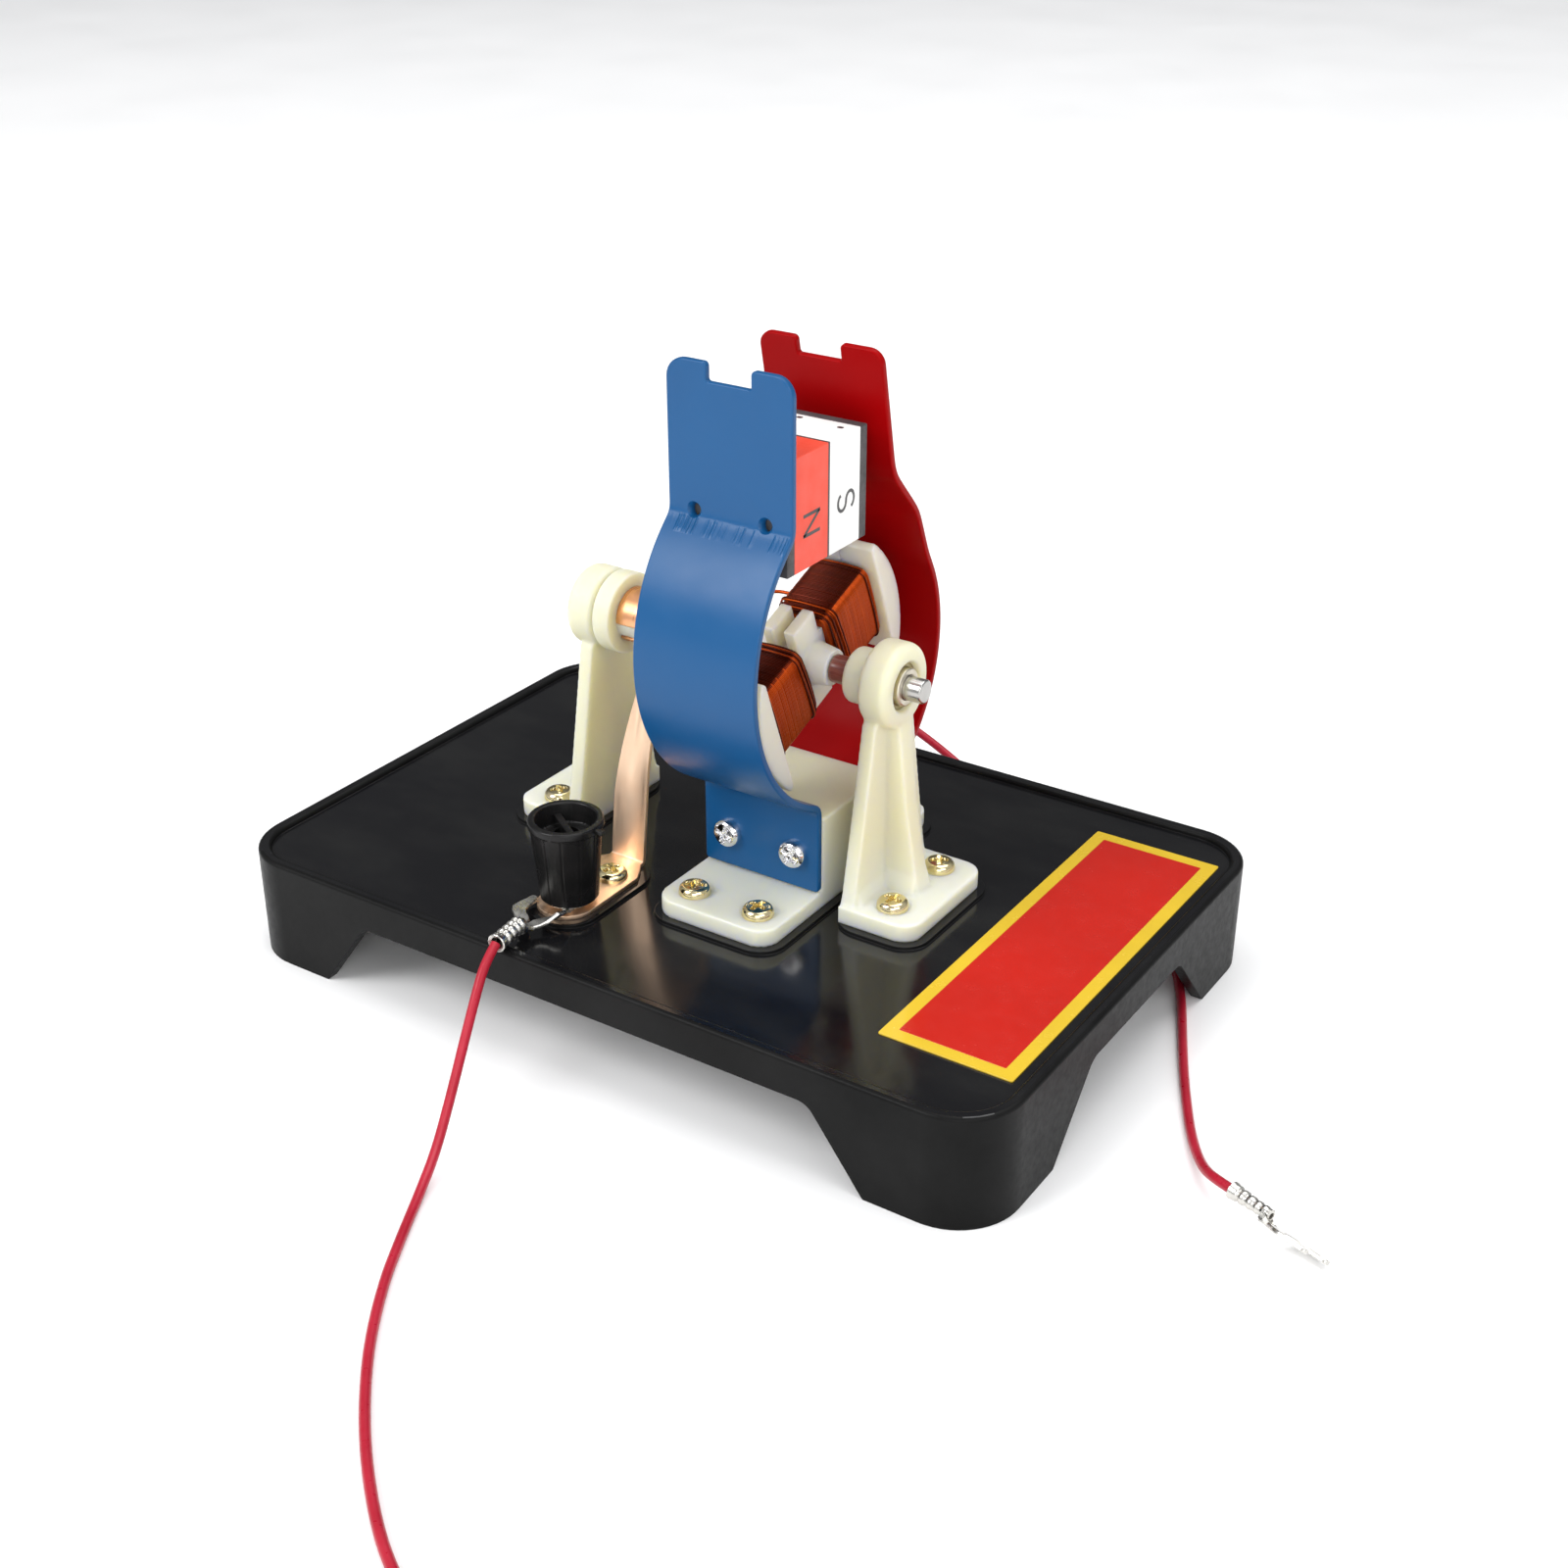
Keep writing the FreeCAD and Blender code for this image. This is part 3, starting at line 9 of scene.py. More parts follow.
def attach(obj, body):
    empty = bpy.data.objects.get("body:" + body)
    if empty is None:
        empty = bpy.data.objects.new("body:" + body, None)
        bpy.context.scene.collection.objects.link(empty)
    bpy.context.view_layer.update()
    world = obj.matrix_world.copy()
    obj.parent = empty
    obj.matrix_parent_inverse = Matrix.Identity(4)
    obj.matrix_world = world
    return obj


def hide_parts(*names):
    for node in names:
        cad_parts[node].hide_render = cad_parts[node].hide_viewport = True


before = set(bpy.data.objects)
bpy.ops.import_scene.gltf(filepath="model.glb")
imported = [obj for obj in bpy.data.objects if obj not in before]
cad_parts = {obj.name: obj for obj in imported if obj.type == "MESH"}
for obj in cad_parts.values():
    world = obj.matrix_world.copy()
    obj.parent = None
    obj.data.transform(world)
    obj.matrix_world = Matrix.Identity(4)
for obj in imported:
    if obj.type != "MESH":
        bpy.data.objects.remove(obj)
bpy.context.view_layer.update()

MM = 0.001
VOXEL = 0.28
AXIS_Z = 58.6
ARM = math.radians(21.0)
XC = 10.3
FOOT_TOP = 20.4
SEAT = 19.6


# ---------------------------------------------------------------- materials
class Mat:
    """A Principled material with short helpers for its node tree. Coordinates are in metres, in the frame."""

    def __init__(self, name, color=(0.5, 0.5, 0.5), rough=0.5, metal=0.0, **more):
        self.m = bpy.data.materials.new(name)
        self.m.use_nodes = True
        self.nt = self.m.node_tree
        self.b = self.nt.nodes["Principled BSDF"]
        self.b.inputs["Base Color"].default_value = (*color, 1.0)
        self.b.inputs["Roughness"].default_value = rough
        self.b.inputs["Metallic"].default_value = metal
        for k, v in more.items():
            self.b.inputs[k.replace("_", " ")].default_value = v
        self._pos = None
        self._xyz = None

    def node(self, kind, **kw):
        n = self.nt.nodes.new(kind)
        for k, v in kw.items():
            setattr(n, k, v)
        return n

    def link(self, a, b):
        self.nt.links.new(a, b)

    @property
    def pos(self):
        if self._pos is None:
            self._pos = self.node("ShaderNodeTexCoord").outputs["Object"]
        return self._pos

    @property
    def xyz(self):
        if self._xyz is None:
            s = self.node("ShaderNodeSeparateXYZ")
            self.link(self.pos, s.inputs[0])
            self._xyz = s.outputs
        return self._xyz

    def stretch(self, sx, sy, sz, rx=0.0):
        n = self.node("ShaderNodeMapping")
        n.inputs["Scale"].default_value = (sx, sy, sz)
        n.inputs["Rotation"].default_value = (rx, 0, 0)
        self.link(self.pos, n.inputs["Vector"])
        return n.outputs[0]

    def aligned(self, sx, sy, sz, rx=0.0):
        """Coordinates turned about X first and stretched after."""
        n = self.node("ShaderNodeMapping", vector_type="TEXTURE")
        n.inputs["Scale"].default_value = (1.0 / sx, 1.0 / sy, 1.0 / sz)
        n.inputs["Rotation"].default_value = (rx, 0, 0)
        self.link(self.pos, n.inputs["Vector"])
        return n.outputs[0]

    def noise(self, scale, detail=4.0, rough=0.55, vec=None, distort=0.0):
        n = self.node("ShaderNodeTexNoise")
        n.inputs["Scale"].default_value = scale
        n.inputs["Detail"].default_value = detail
        n.inputs["Roughness"].default_value = rough
        n.inputs["Distortion"].default_value = distort
        self.link(vec or self.pos, n.inputs["Vector"])
        return n.outputs["Fac"]

    def math(self, op, a, b=0.0, clamp=False):
        n = self.node("ShaderNodeMath", operation=op, use_clamp=clamp)
        for i, v in enumerate((a, b)):
            if isinstance(v, (int, float)):
                n.inputs[i].default_value = v
            else:
                self.link(v, n.inputs[i])
        return n.outputs[0]

    def span(self, v, a, b, c=0.0, d=1.0, smooth=False):
        n = self.node("ShaderNodeMapRange")
        n.clamp = True
        if smooth:
            n.interpolation_type = "SMOOTHSTEP"
        for name, q in (("From Min", a), ("From Max", b), ("To Min", c), ("To Max", d)):
            n.inputs[name].default_value = q
        self.link(v, n.inputs["Value"])
        return n.outputs["Result"]

    def mix(self, fac, a, b):
        n = self.node("ShaderNodeMix", data_type="RGBA")
        self.link(fac, n.inputs["Factor"])
        for name, v in (("A", a), ("B", b)):
            s = [i for i in n.inputs if i.name == name and i.type == "RGBA"][0]
            if isinstance(v, tuple):
                s.default_value = (*v, 1.0)
            else:
                self.link(v, s)
        return [o for o in n.outputs if o.type == "RGBA"][0]

    def color(self, sock):
        self.link(sock, self.b.inputs["Base Color"])
        return self

    def rough(self, sock):
        self.link(sock, self.b.inputs["Roughness"])
        return self

    def bump(self, height, strength=0.3, distance=0.00005):
        n = self.node("ShaderNodeBump")
        n.inputs["Strength"].default_value = strength
        n.inputs["Distance"].default_value = distance
        self.link(height, n.inputs["Height"])
        old = self.b.inputs["Normal"].links
        if old:
            self.link(old[0].from_socket, n.inputs["Normal"])
        self.link(n.outputs[0], self.b.inputs["Normal"])
        return self


def black_panel():
    """The polished panel, with smudges and faint dust."""
    m = Mat("black_gloss", (0.010, 0.010, 0.011), 0.14, Specular_IOR_Level=0.42)
    smear = m.noise(38.0, 5.0, 0.6, m.stretch(1.0, 2.2, 1.0))
    fine = m.noise(900.0, 3.0, 0.6)
    m.rough(m.math("ADD", m.span(smear, 0.35, 0.75, 0.08, 0.18), m.math("MULTIPLY", fine, 0.03)))
    m.color(m.mix(m.span(smear, 0.4, 0.8), (0.005, 0.005, 0.006), (0.012, 0.012, 0.012)))
    m.bump(m.noise(60.0, 2.0), 0.05, 0.0006)
    return m.m


def black_walls():
    """The satin walls and rim of the base, with a fine moulded grain."""
    m = Mat("black_satin", (0.010, 0.010, 0.010), 0.4, Specular_IOR_Level=0.09)
    fine = m.noise(900.0, 3.0, 0.6)
    m.rough(m.span(fine, 0.3, 0.7, 0.33, 0.45))
    m.color(m.mix(m.span(m.noise(55.0, 4.0, 0.6), 0.35, 0.75), (0.004, 0.004, 0.004), (0.009, 0.009, 0.009)))
    m.bump(m.noise(2600.0, 2.0, 0.5), 0.15, 0.00003)
    m.bump(m.noise(60.0, 2.0), 0.05, 0.0006)
    return m.m


def nylon(name, warm, cool, glow=0.0):
    m = Mat(name, warm, 0.42, Subsurface_Weight=0.9, Subsurface_Radius=(1.0, 0.88, 0.42), Subsurface_Scale=0.006,
            Specular_IOR_Level=0.45)
    z = m.xyz[2]
    cloud = m.noise(95.0, 4.0, 0.55)
    base = m.mix(m.math("ADD", m.span(z, 0.022, 0.034, 0.0, 0.85), m.span(cloud, 0.3, 0.7, -0.12, 0.15), True), cool, warm)
    speck = m.noise(1500.0, 2.0, 0.5)
    m.color(m.mix(m.span(speck, 0.72, 0.8, 0.0, 0.25), base, tuple(c * 0.78 for c in warm)))
    m.rough(m.span(m.noise(260.0, 3.0), 0.3, 0.7, 0.34, 0.5))
    m.bump(m.noise(420.0, 3.0), 0.12, 0.00012)
    m.bump(m.noise(60.0, 2.0), 0.12, 0.0005)
    return m.m


def paint(name, deep, base, rough, coat, marks, spec=0.32):
    m = Mat(name, base, rough, Coat_Weight=coat, Coat_Roughness=0.08, Specular_IOR_Level=spec)
    haze = m.noise(24.0, 4.0, 0.5)
    m.color(m.mix(m.span(haze, 0.3, 0.7), deep, base))
    m.rough(m.span(m.noise(190.0, 4.0, 0.6), 0.3, 0.7, rough * 0.86, rough * 1.12))
    m.bump(m.noise(330.0, 2.0), 0.16, 0.00012)
    m.bump(m.noise(2400.0, 2.0), 0.08, 0.00003)
    if marks:
        # short upright stretch marks where the strip was folded, below the two punch holes
        z, x = m.xyz[2], m.xyz[0]
        lo, hi = marks
        band = m.math("MULTIPLY", m.span(z, lo, lo + 0.0006), m.span(z, hi - 0.0005, hi, 1.0, 0.0))
        lines = m.noise(1.0, 1.0, 0.5, m.stretch(1700.0, 40.0, 40.0))
        keep = m.span(m.noise(1.0, 1.0, 0.5, m.stretch(230.0, 10.0, 10.0)), 0.42, 0.6)
        h = m.math("MULTIPLY", m.math("MULTIPLY", m.span(lines, 0.5, 0.72), band), keep)
        m.bump(h, 0.9, 0.0003)
    return m.m


def metal(name, color, rough, lines=None, coat=0.0, dark=0.8, tint=None):
    m = Mat(name, color, rough, 1.0, Coat_Weight=coat, Coat_Roughness=0.1)
    cloud = m.noise(160.0, 4.0, 0.6)
    m.color(m.mix(m.span(cloud, 0.3, 0.75), color, tint or tuple(c * dark for c in color)))
    if lines:
        v = m.noise(1.0, 4.0, 0.65, m.stretch(*lines))
        m.rough(m.span(v, 0.25, 0.75, rough * 0.75, rough * 1.5))
        m.bump(v, 0.08, 0.00002)
    else:
        m.rough(m.span(m.noise(420.0, 4.0, 0.6), 0.3, 0.7, rough * 0.7, rough * 1.45))
        m.bump(m.noise(700.0, 3.0), 0.12, 0.00004)
    return m.m


def enamel(name, a, b, rough=0.3):
    """Enamelled copper wire: the turns are in the mesh, this adds the varnish and its uneven tone from turn to turn."""
    m = Mat(name, a, rough, 0.8, Coat_Weight=0.07, Coat_Roughness=0.2, Specular_IOR_Level=0.2)
    turns = m.noise(1.0, 3.0, 0.6, m.aligned(25.0, 1900.0, 25.0, ARM))
    big = m.noise(90.0, 3.0, 0.5)
    m.color(m.mix(m.math("ADD", m.span(turns, 0.3, 0.7, 0.0, 0.55), m.span(big, 0.3, 0.7, 0.0, 0.45)), a, b))
    m.rough(m.span(big, 0.3, 0.7, rough * 0.85, rough * 1.15))
    m.bump(turns, 0.12, 0.00004)
    return m.m


def vinyl(name, a, b):
    m = Mat(name, a, 0.3, Specular_IOR_Level=0.35)
    m.color(m.mix(m.span(m.noise(130.0, 4.0), 0.3, 0.7), a, b))
    m.rough(m.span(m.noise(700.0, 3.0), 0.3, 0.7, 0.26, 0.4))
    m.bump(m.noise(500.0, 3.0), 0.2, 0.00008)
    return m.m


def phenolic():
    m = Mat("knob_plastic", (0.008, 0.008, 0.009), 0.28, Specular_IOR_Level=0.22)
    m.color(m.mix(m.span(m.noise(220.0, 4.0), 0.35, 0.75), (0.006, 0.006, 0.006), (0.013, 0.012, 0.012)))
    m.rough(m.span(m.noise(120.0, 3.0, 0.5), 0.3, 0.75, 0.24, 0.32))
    m.bump(m.noise(140.0, 2.0), 0.03, 0.0001)
    return m.m


def printed(name, color, rough=0.22, dark=0.9, coat=0.6):
    m = Mat(name, color, rough, Coat_Weight=coat, Coat_Roughness=0.05)
    m.color(m.mix(m.span(m.noise(70.0, 4.0), 0.3, 0.7), color, tuple(c * dark for c in color)))
    m.rough(m.span(m.noise(340.0, 3.0), 0.3, 0.7, rough * 0.8, rough * 1.3))
    m.bump(m.noise(900.0, 3.0), 0.1, 0.00004)
    m.bump(m.noise(45.0, 2.0), 0.08, 0.0004)
    return m.m


def ferrite():
    m = Mat("ferrite", (0.085, 0.08, 0.082), 0.6, 0.15)
    m.color(m.mix(m.span(m.noise(240.0, 5.0, 0.65), 0.3, 0.7), (0.10, 0.095, 0.10), (0.045, 0.042, 0.043)))
    m.rough(m.span(m.noise(900.0, 4.0), 0.3, 0.7, 0.45, 0.75))
    m.bump(m.noise(1500.0, 4.0, 0.65), 0.4, 0.00008)
    return m.m


def laminated():
    """Thin steel sheets stacked along the shaft."""
    m = Mat("lamination_steel", (0.42, 0.40, 0.37), 0.34, 1.0)
    w = m.node("ShaderNodeTexWave", wave_type="BANDS", bands_direction="X")
    w.inputs["Scale"].default_value = 330.0
    w.inputs["Distortion"].default_value = 0.15
    m.link(m.pos, w.inputs["Vector"])
    m.color(m.mix(m.span(w.outputs["Fac"], 0.1, 0.5), (0.12, 0.11, 0.10), (0.50, 0.48, 0.44)))
    m.rough(m.span(m.noise(600.0, 3.0), 0.3, 0.7, 0.26, 0.5))
    m.bump(w.outputs["Fac"], 0.4, 0.00008)
    return m.m


def tube_brown():
    m = Mat("brown_tube", (0.16, 0.045, 0.035), 0.26, Coat_Weight=0.4, Coat_Roughness=0.08)
    v = m.noise(1.0, 4.0, 0.6, m.stretch(60.0, 900.0, 900.0))
    m.color(m.mix(m.span(v, 0.35, 0.7), (0.15, 0.04, 0.032), (0.27, 0.11, 0.085)))
    m.rough(m.span(v, 0.3, 0.7, 0.2, 0.38))
    m.bump(v, 0.2, 0.00008)
    return m.m


M_PANEL = black_panel()
M_WALL = black_walls()
M_NYLON = nylon("nylon", (0.72, 0.70, 0.51), (0.70, 0.70, 0.61))
M_NYLON_HUB = nylon("nylon_hub", (0.72, 0.69, 0.58), (0.70, 0.67, 0.60))
M_BLUE = paint("blue_paint", (0.003, 0.066, 0.192), (0.005, 0.078, 0.218), 0.33, 0.0, (0.0856, 0.0880))
M_RED = paint("red_paint", (0.25, 0.0006, 0.0012), (0.32, 0.001, 0.002), 0.32, 0.0, None, 0.06)
M_STEEL = metal("bright_steel", (0.50, 0.49, 0.47), 0.2, (500.0, 12.0, 12.0))
M_BUSH = metal("sintered_bush", (0.66, 0.61, 0.50), 0.36)
M_OILRING = metal("oil_ring_brass", (0.30, 0.25, 0.13), 0.42)
M_COPPER = metal("copper_strap", (0.96, 0.70, 0.50), 0.36, (1400.0, 40.0, 60.0), tint=(0.94, 0.65, 0.44))
M_SEGMENT = metal("commutator_copper", (0.83, 0.42, 0.22), 0.27, (1500.0, 60.0, 60.0))
M_GOLD = metal("yellow_passivated", (0.80, 0.68, 0.36), 0.14, tint=(0.70, 0.62, 0.42))
M_CHROME = metal("bright_nickel", (0.86, 0.86, 0.87), 0.07, dark=0.94)
M_TIN = metal("tinned_brass", (0.66, 0.645, 0.605), 0.25, dark=0.88)
M_ENAMEL = enamel("enamelled_wire", (0.56, 0.080, 0.005), (0.32, 0.036, 0.002), 0.34)
# painted shade: a darker copy of the enamel, used for the coil faces and loose turns that lie in shade
M_ENAMEL_PAINTED_SHADE = enamel("enamelled_wire_painted_shade", (0.13, 0.014, 0.003), (0.05, 0.006, 0.002), 0.38)
M_WIRE = vinyl("wire_red", (0.34, 0.008, 0.022), (0.42, 0.016, 0.036))
M_KNOB = phenolic()
M_RED_FIELD = printed("label_red", (0.50, 0.010, 0.003), coat=0.3)
M_YELLOW = printed("label_yellow", (0.68, 0.46, 0.025), coat=0.3)
M_PAPER_RED = printed("magnet_red", (0.82, 0.075, 0.038), 0.45, 0.95, 0.0)
M_PAPER_WHITE = printed("magnet_white", (0.88, 0.88, 0.86), 0.45, 0.97, 0.0)
M_INK = printed("ink", (0.03, 0.028, 0.03), 0.35, 0.7, 0.2)
M_FERRITE = ferrite()
M_LAM = laminated()
M_TUBE = tube_brown()


# ---------------------------------------------------------------- mesh helpers, all in millimetres
def arm_pt(p):
    """A point drawn with the arm along Y, about the shaft line, turned to the resting angle."""
    x, y, z = p
    return (x, y * math.cos(ARM) - z * math.sin(ARM), y * math.sin(ARM) + z * math.cos(ARM) + AXIS_Z)


def make(name, verts, faces, mat, where=None, mats=None):
    me = bpy.data.meshes.new(name)
    if where:
        verts = [where(v) for v in verts]
    me.from_pydata([(v[0] * MM, v[1] * MM, v[2] * MM) for v in verts], [], faces)
    me.validate()
    for m in (mats or [mat]):
        me.materials.append(m)
    o = bpy.data.objects.new(name, me)
    bpy.context.scene.collection.objects.link(o)
    bm = bmesh.new()
    bm.from_mesh(me)
    bmesh.ops.recalc_face_normals(bm, faces=bm.faces)
    bm.to_mesh(me)
    bm.free()
    return o


def smooth(o, angle=35.0):
    me = o.data
    me.shade_smooth()
    bm = bmesh.new()
    bm.from_mesh(me)
    lim = math.radians(angle)
    for e in bm.edges:
        e.smooth = not (len(e.link_faces) == 2 and e.calc_face_angle(0.0) > lim)
    bm.to_mesh(me)
    bm.free()
    return o


def bevel(o, width, segs=3, angle=28.0, weld=True):
    """Rounds every edge sharper than the angle, in the mesh itself."""
    me = o.data
    bm = bmesh.new()
    bm.from_mesh(me)
    if weld:
        bmesh.ops.remove_doubles(bm, verts=bm.verts, dist=2e-6)
        bmesh.ops.dissolve_limit(bm, angle_limit=math.radians(0.6), verts=bm.verts, edges=bm.edges)
    lim = math.radians(angle)
    sharp = [e for e in bm.edges if len(e.link_faces) == 2 and e.calc_face_angle(0.0) > lim]
    if sharp and width > 0:
        bmesh.ops.bevel(bm, geom=sharp, offset=width * MM, offset_type="OFFSET", segments=segs, profile=0.5,
                        affect="EDGES", clamp_overlap=True, loop_slide=True)
    bmesh.ops.recalc_face_normals(bm, faces=bm.faces)
    for f in bm.faces:
        f.smooth = True
    for e in bm.edges:
        e.smooth = not (len(e.link_faces) == 2 and e.calc_face_angle(0.0) > math.radians(50))
    bm.to_mesh(me)
    bm.free()
    w = o.modifiers.new("normals", "WEIGHTED_NORMAL")
    w.keep_sharp = True
    w.weight = 80
    return o


def put(o, body, slot, *nodes):
    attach(o, body)
    if nodes:
        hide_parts(*nodes)
    return o


def from_cad(node, name, width, mat, body, slot, segs=3, angle=28.0):
    """The node's own mesh, welded and with its edges rounded."""
    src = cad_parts[node].data
    me = bpy.data.meshes.new(name)
    me.from_pydata([tuple(v.co) for v in src.vertices], [], [tuple(p.vertices) for p in src.polygons])
    me.materials.append(mat)
    o = bpy.data.objects.new(name, me)
    bpy.context.scene.collection.objects.link(o)
    bevel(o, width, segs, angle)
    return put(o, body, slot, node)


def prism(outline, a, b, axis="z"):
    """Closed prism of a 2D outline between a and b along an axis: z takes (x, y), x takes (y, z), y takes (x, z)."""
    n = len(outline)
    place = {"z": lambda p, t: (p[0], p[1], t), "x": lambda p, t: (t, p[0], p[1]), "y": lambda p, t: (p[0], t, p[1])}[axis]
    verts = [place(p, a) for p in outline] + [place(p, b) for p in outline]
    faces = [tuple(reversed(range(n))), tuple(range(n, 2 * n))]
    faces += [(i, (i + 1) % n, n + (i + 1) % n, n + i) for i in range(n)]
    return verts, faces


def round_rect(hx, hy, r, cx=0.0, cy=0.0, n=8, corners=(1, 1, 1, 1)):
    pts = []
    for k, (sx, sy) in enumerate(((1, 1), (-1, 1), (-1, -1), (1, -1))):
        if not corners[k]:
            pts.append((cx + sx * hx, cy + sy * hy))
            continue
        for i in range(n + 1):
            a = math.pi / 2 * (k + i / n)
            pts.append((cx + sx * (hx - r) + r * math.cos(a), cy + sy * (hy - r) + r * math.sin(a)))
    return pts


def fillet2d(pts, n=5):
    """Open polyline whose entries are (a, b) or (a, b, radius): corners with a radius are rounded."""
    out = []
    for i, p in enumerate(pts):
        if len(p) == 2 or i in (0, len(pts) - 1):
            out.append((p[0], p[1]))
            continue
        a, c, b = Vector(pts[i - 1][:2]), Vector(p[:2]), Vector(pts[i + 1][:2])
        u, v = (a - c), (b - c)
        lu, lv = u.length, v.length
        u.normalize()
        v.normalize()
        half = math.acos(max(-1, min(1, u.dot(v)))) / 2
        cut = min(p[2] / math.tan(half), 0.48 * min(lu, lv))
        r = cut * math.tan(half)
        o_ = c + (u + v).normalized() * (r / math.sin(half))
        s, e = c + u * cut - o_, c + v * cut - o_
        turn = math.atan2(s.x * e.y - s.y * e.x, s.dot(e))
        for k in range(n + 1):
            ct, st_ = math.cos(turn * k / n), math.sin(turn * k / n)
            out.append((o_.x + s.x * ct - s.y * st_, o_.y + s.x * st_ + s.y * ct))
    return out


def lathe(profile, n, axis="x", at=(0, 0, AXIS_Z), radial=None, closed=True):
    """Turns a profile of (along, radius). radial(angle, along, r) may change the radius."""
    verts, faces = [], []
    m = len(profile)
    for i in range(n):
        t = 2 * math.pi * i / n
        c, s = math.cos(t), math.sin(t)
        for a, r in profile:
            rr = radial(t, a, r) if radial else r
            if axis == "x":
                verts.append((at[0] + a, at[1] + rr * c, at[2] + rr * s))
            elif axis == "y":
                verts.append((at[0] + rr * c, at[1] + a, at[2] + rr * s))
            else:
                verts.append((at[0] + rr * c, at[1] + rr * s, at[2] + a))
    k_max = m if closed else m - 1
    for i in range(n):
        j = (i + 1) % n
        for k in range(k_max):
            l = (k + 1) % m
            faces.append((i * m + k, i * m + l, j * m + l, j * m + k))
    return verts, faces


def joined(*parts):
    verts, faces = [], []
    for v, f in parts:
        off = len(verts)
        verts += list(v)
        faces += [tuple(i + off for i in face) for face in f]
    return verts, faces


def weld(o, dist=1e-6):
    bm = bmesh.new()
    bm.from_mesh(o.data)
    bmesh.ops.remove_doubles(bm, verts=bm.verts, dist=dist)
    bmesh.ops.recalc_face_normals(bm, faces=bm.faces)
    bm.to_mesh(o.data)
    bm.free()
    return o


def moulded(name, parts, mat, voxel=VOXEL, passes=8, factor=0.5):
    """Closed solids melted together into one moulding with soft edges and small fillets."""
    o = weld(make(name, *joined(*parts), mat))
    r = o.modifiers.new("melt", "REMESH")
    r.mode = "VOXEL"
    r.voxel_size = voxel * MM
    r.use_smooth_shade = True
    s = o.modifiers.new("soften", "SMOOTH")
    s.iterations = passes
    s.factor = factor
    dg = bpy.context.evaluated_depsgraph_get()
    me = bpy.data.meshes.new_from_object(o.evaluated_get(dg))
    o.modifiers.clear()
    o.data = me
    me.name = name
    me.shade_smooth()
    return o


def sweep(path, radius, n=12, name=None, ends=True, squash=1.0):
    """Tube along a list of points."""
    P = [Vector(p) for p in path]
    verts, faces = [], []
    up = Vector((0.13, 0.21, 0.97))
    for i, p in enumerate(P):
        d = (P[min(i + 1, len(P) - 1)] - P[max(i - 1, 0)]).normalized()
        side = d.cross(up).normalized() if i == 0 else (side - d * side.dot(d)).normalized()
        oth = d.cross(side)
        r = radius(i / (len(P) - 1)) if callable(radius) else radius
        for k in range(n):
            a = 2 * math.pi * k / n
            verts.append(tuple(p + side * (r * math.cos(a)) + oth * (r * squash * math.sin(a))))
    for i in range(len(P) - 1):
        for k in range(n):
            l = (k + 1) % n
            faces.append((i * n + k, i * n + l, (i + 1) * n + l, (i + 1) * n + k))
    if ends:
        faces.append(tuple(reversed(range(n))))
        faces.append(tuple(range((len(P) - 1) * n, len(P) * n)))
    return verts, faces


# ---------------------------------------------------------------- camera
cam_data = bpy.data.cameras.new("camera")
cam_data.sensor_width = 36.0
cam_data.sensor_fit = "HORIZONTAL"
cam_data.lens = 48.26
cam_data.clip_start = 0.01
cam = bpy.data.objects.new("camera", cam_data)
bpy.context.scene.collection.objects.link(cam)
cam.location = (0.18182, -0.26363, 0.19974)
cam.rotation_euler = Vector((-0.4886, 0.7393, -0.4634)).to_track_quat("-Z", "Y").to_euler()
bpy.context.scene.camera = cam

# ---------------------------------------------------------------- wires
WIRE_NEAR = [
    (-13.6, -51.2, 22.0), (-13.2, -54.6, 20.2), (-12.0, -58.5, 16.6), (-9.6, -64.5, 12.2), (-6.4, -71.8, 7.4), (-3.4, -79.0, 2.9),
    (-0.3, -86.6, 0.8), (3.6, -94.3, 0.8), (9.2, -104.7, 0.8), (18.0, -117.2, 0.8), (30.5, -130.4, 0.8), (45.0, -141.5, 0.8),
    (62.0, -147.5, 0.8), (79.0, -147.5, 0.8), (95.5, -144.8, 0.8),
]
WIRE_FAR = [
    (-13.8, 51.2, 22.0), (-13.6, 57.6, 21.4), (-8.0, 63.6, 17.8), (2.0, 65.4, 12.2), (13.0, 64.4, 6.6), (24.0, 61.4, 2.4), (34.5, 57.4, 0.8),
    (45.6, 51.6, 0.8), (57.4, 44.4, 0.8), (66.4, 35.6, 0.8), (72.4, 25.2, 0.8), (77.2, 14.6, 0.8), (82.0, 4.4, 0.8), (85.4, -2.2, 0.8),
    (88.6, -8.2, 0.9), (92.0, -13.9, 1.6), (95.4, -18.8, 2.9), (98.6, -21.9, 4.4), (101.4, -22.9, 4.5),
]


def wire(name, route):
    cu = bpy.data.curves.new(name, "CURVE")
    cu.dimensions = "3D"
    cu.bevel_depth = 0.8 * MM
    cu.bevel_resolution = 5
    cu.use_fill_caps = True
    cu.resolution_u = 10
    sp = cu.splines.new("NURBS")
    sp.points.add(len(route) - 1)
    for p, q in zip(sp.points, route):
        p.co = (q[0] * MM, q[1] * MM, q[2] * MM, 1.0)
    sp.order_u = 3
    sp.use_endpoint_u = True
    cu.materials.append(M_WIRE)
    o = bpy.data.objects.new(name, cu)
    bpy.context.scene.collection.objects.link(o)
    return o


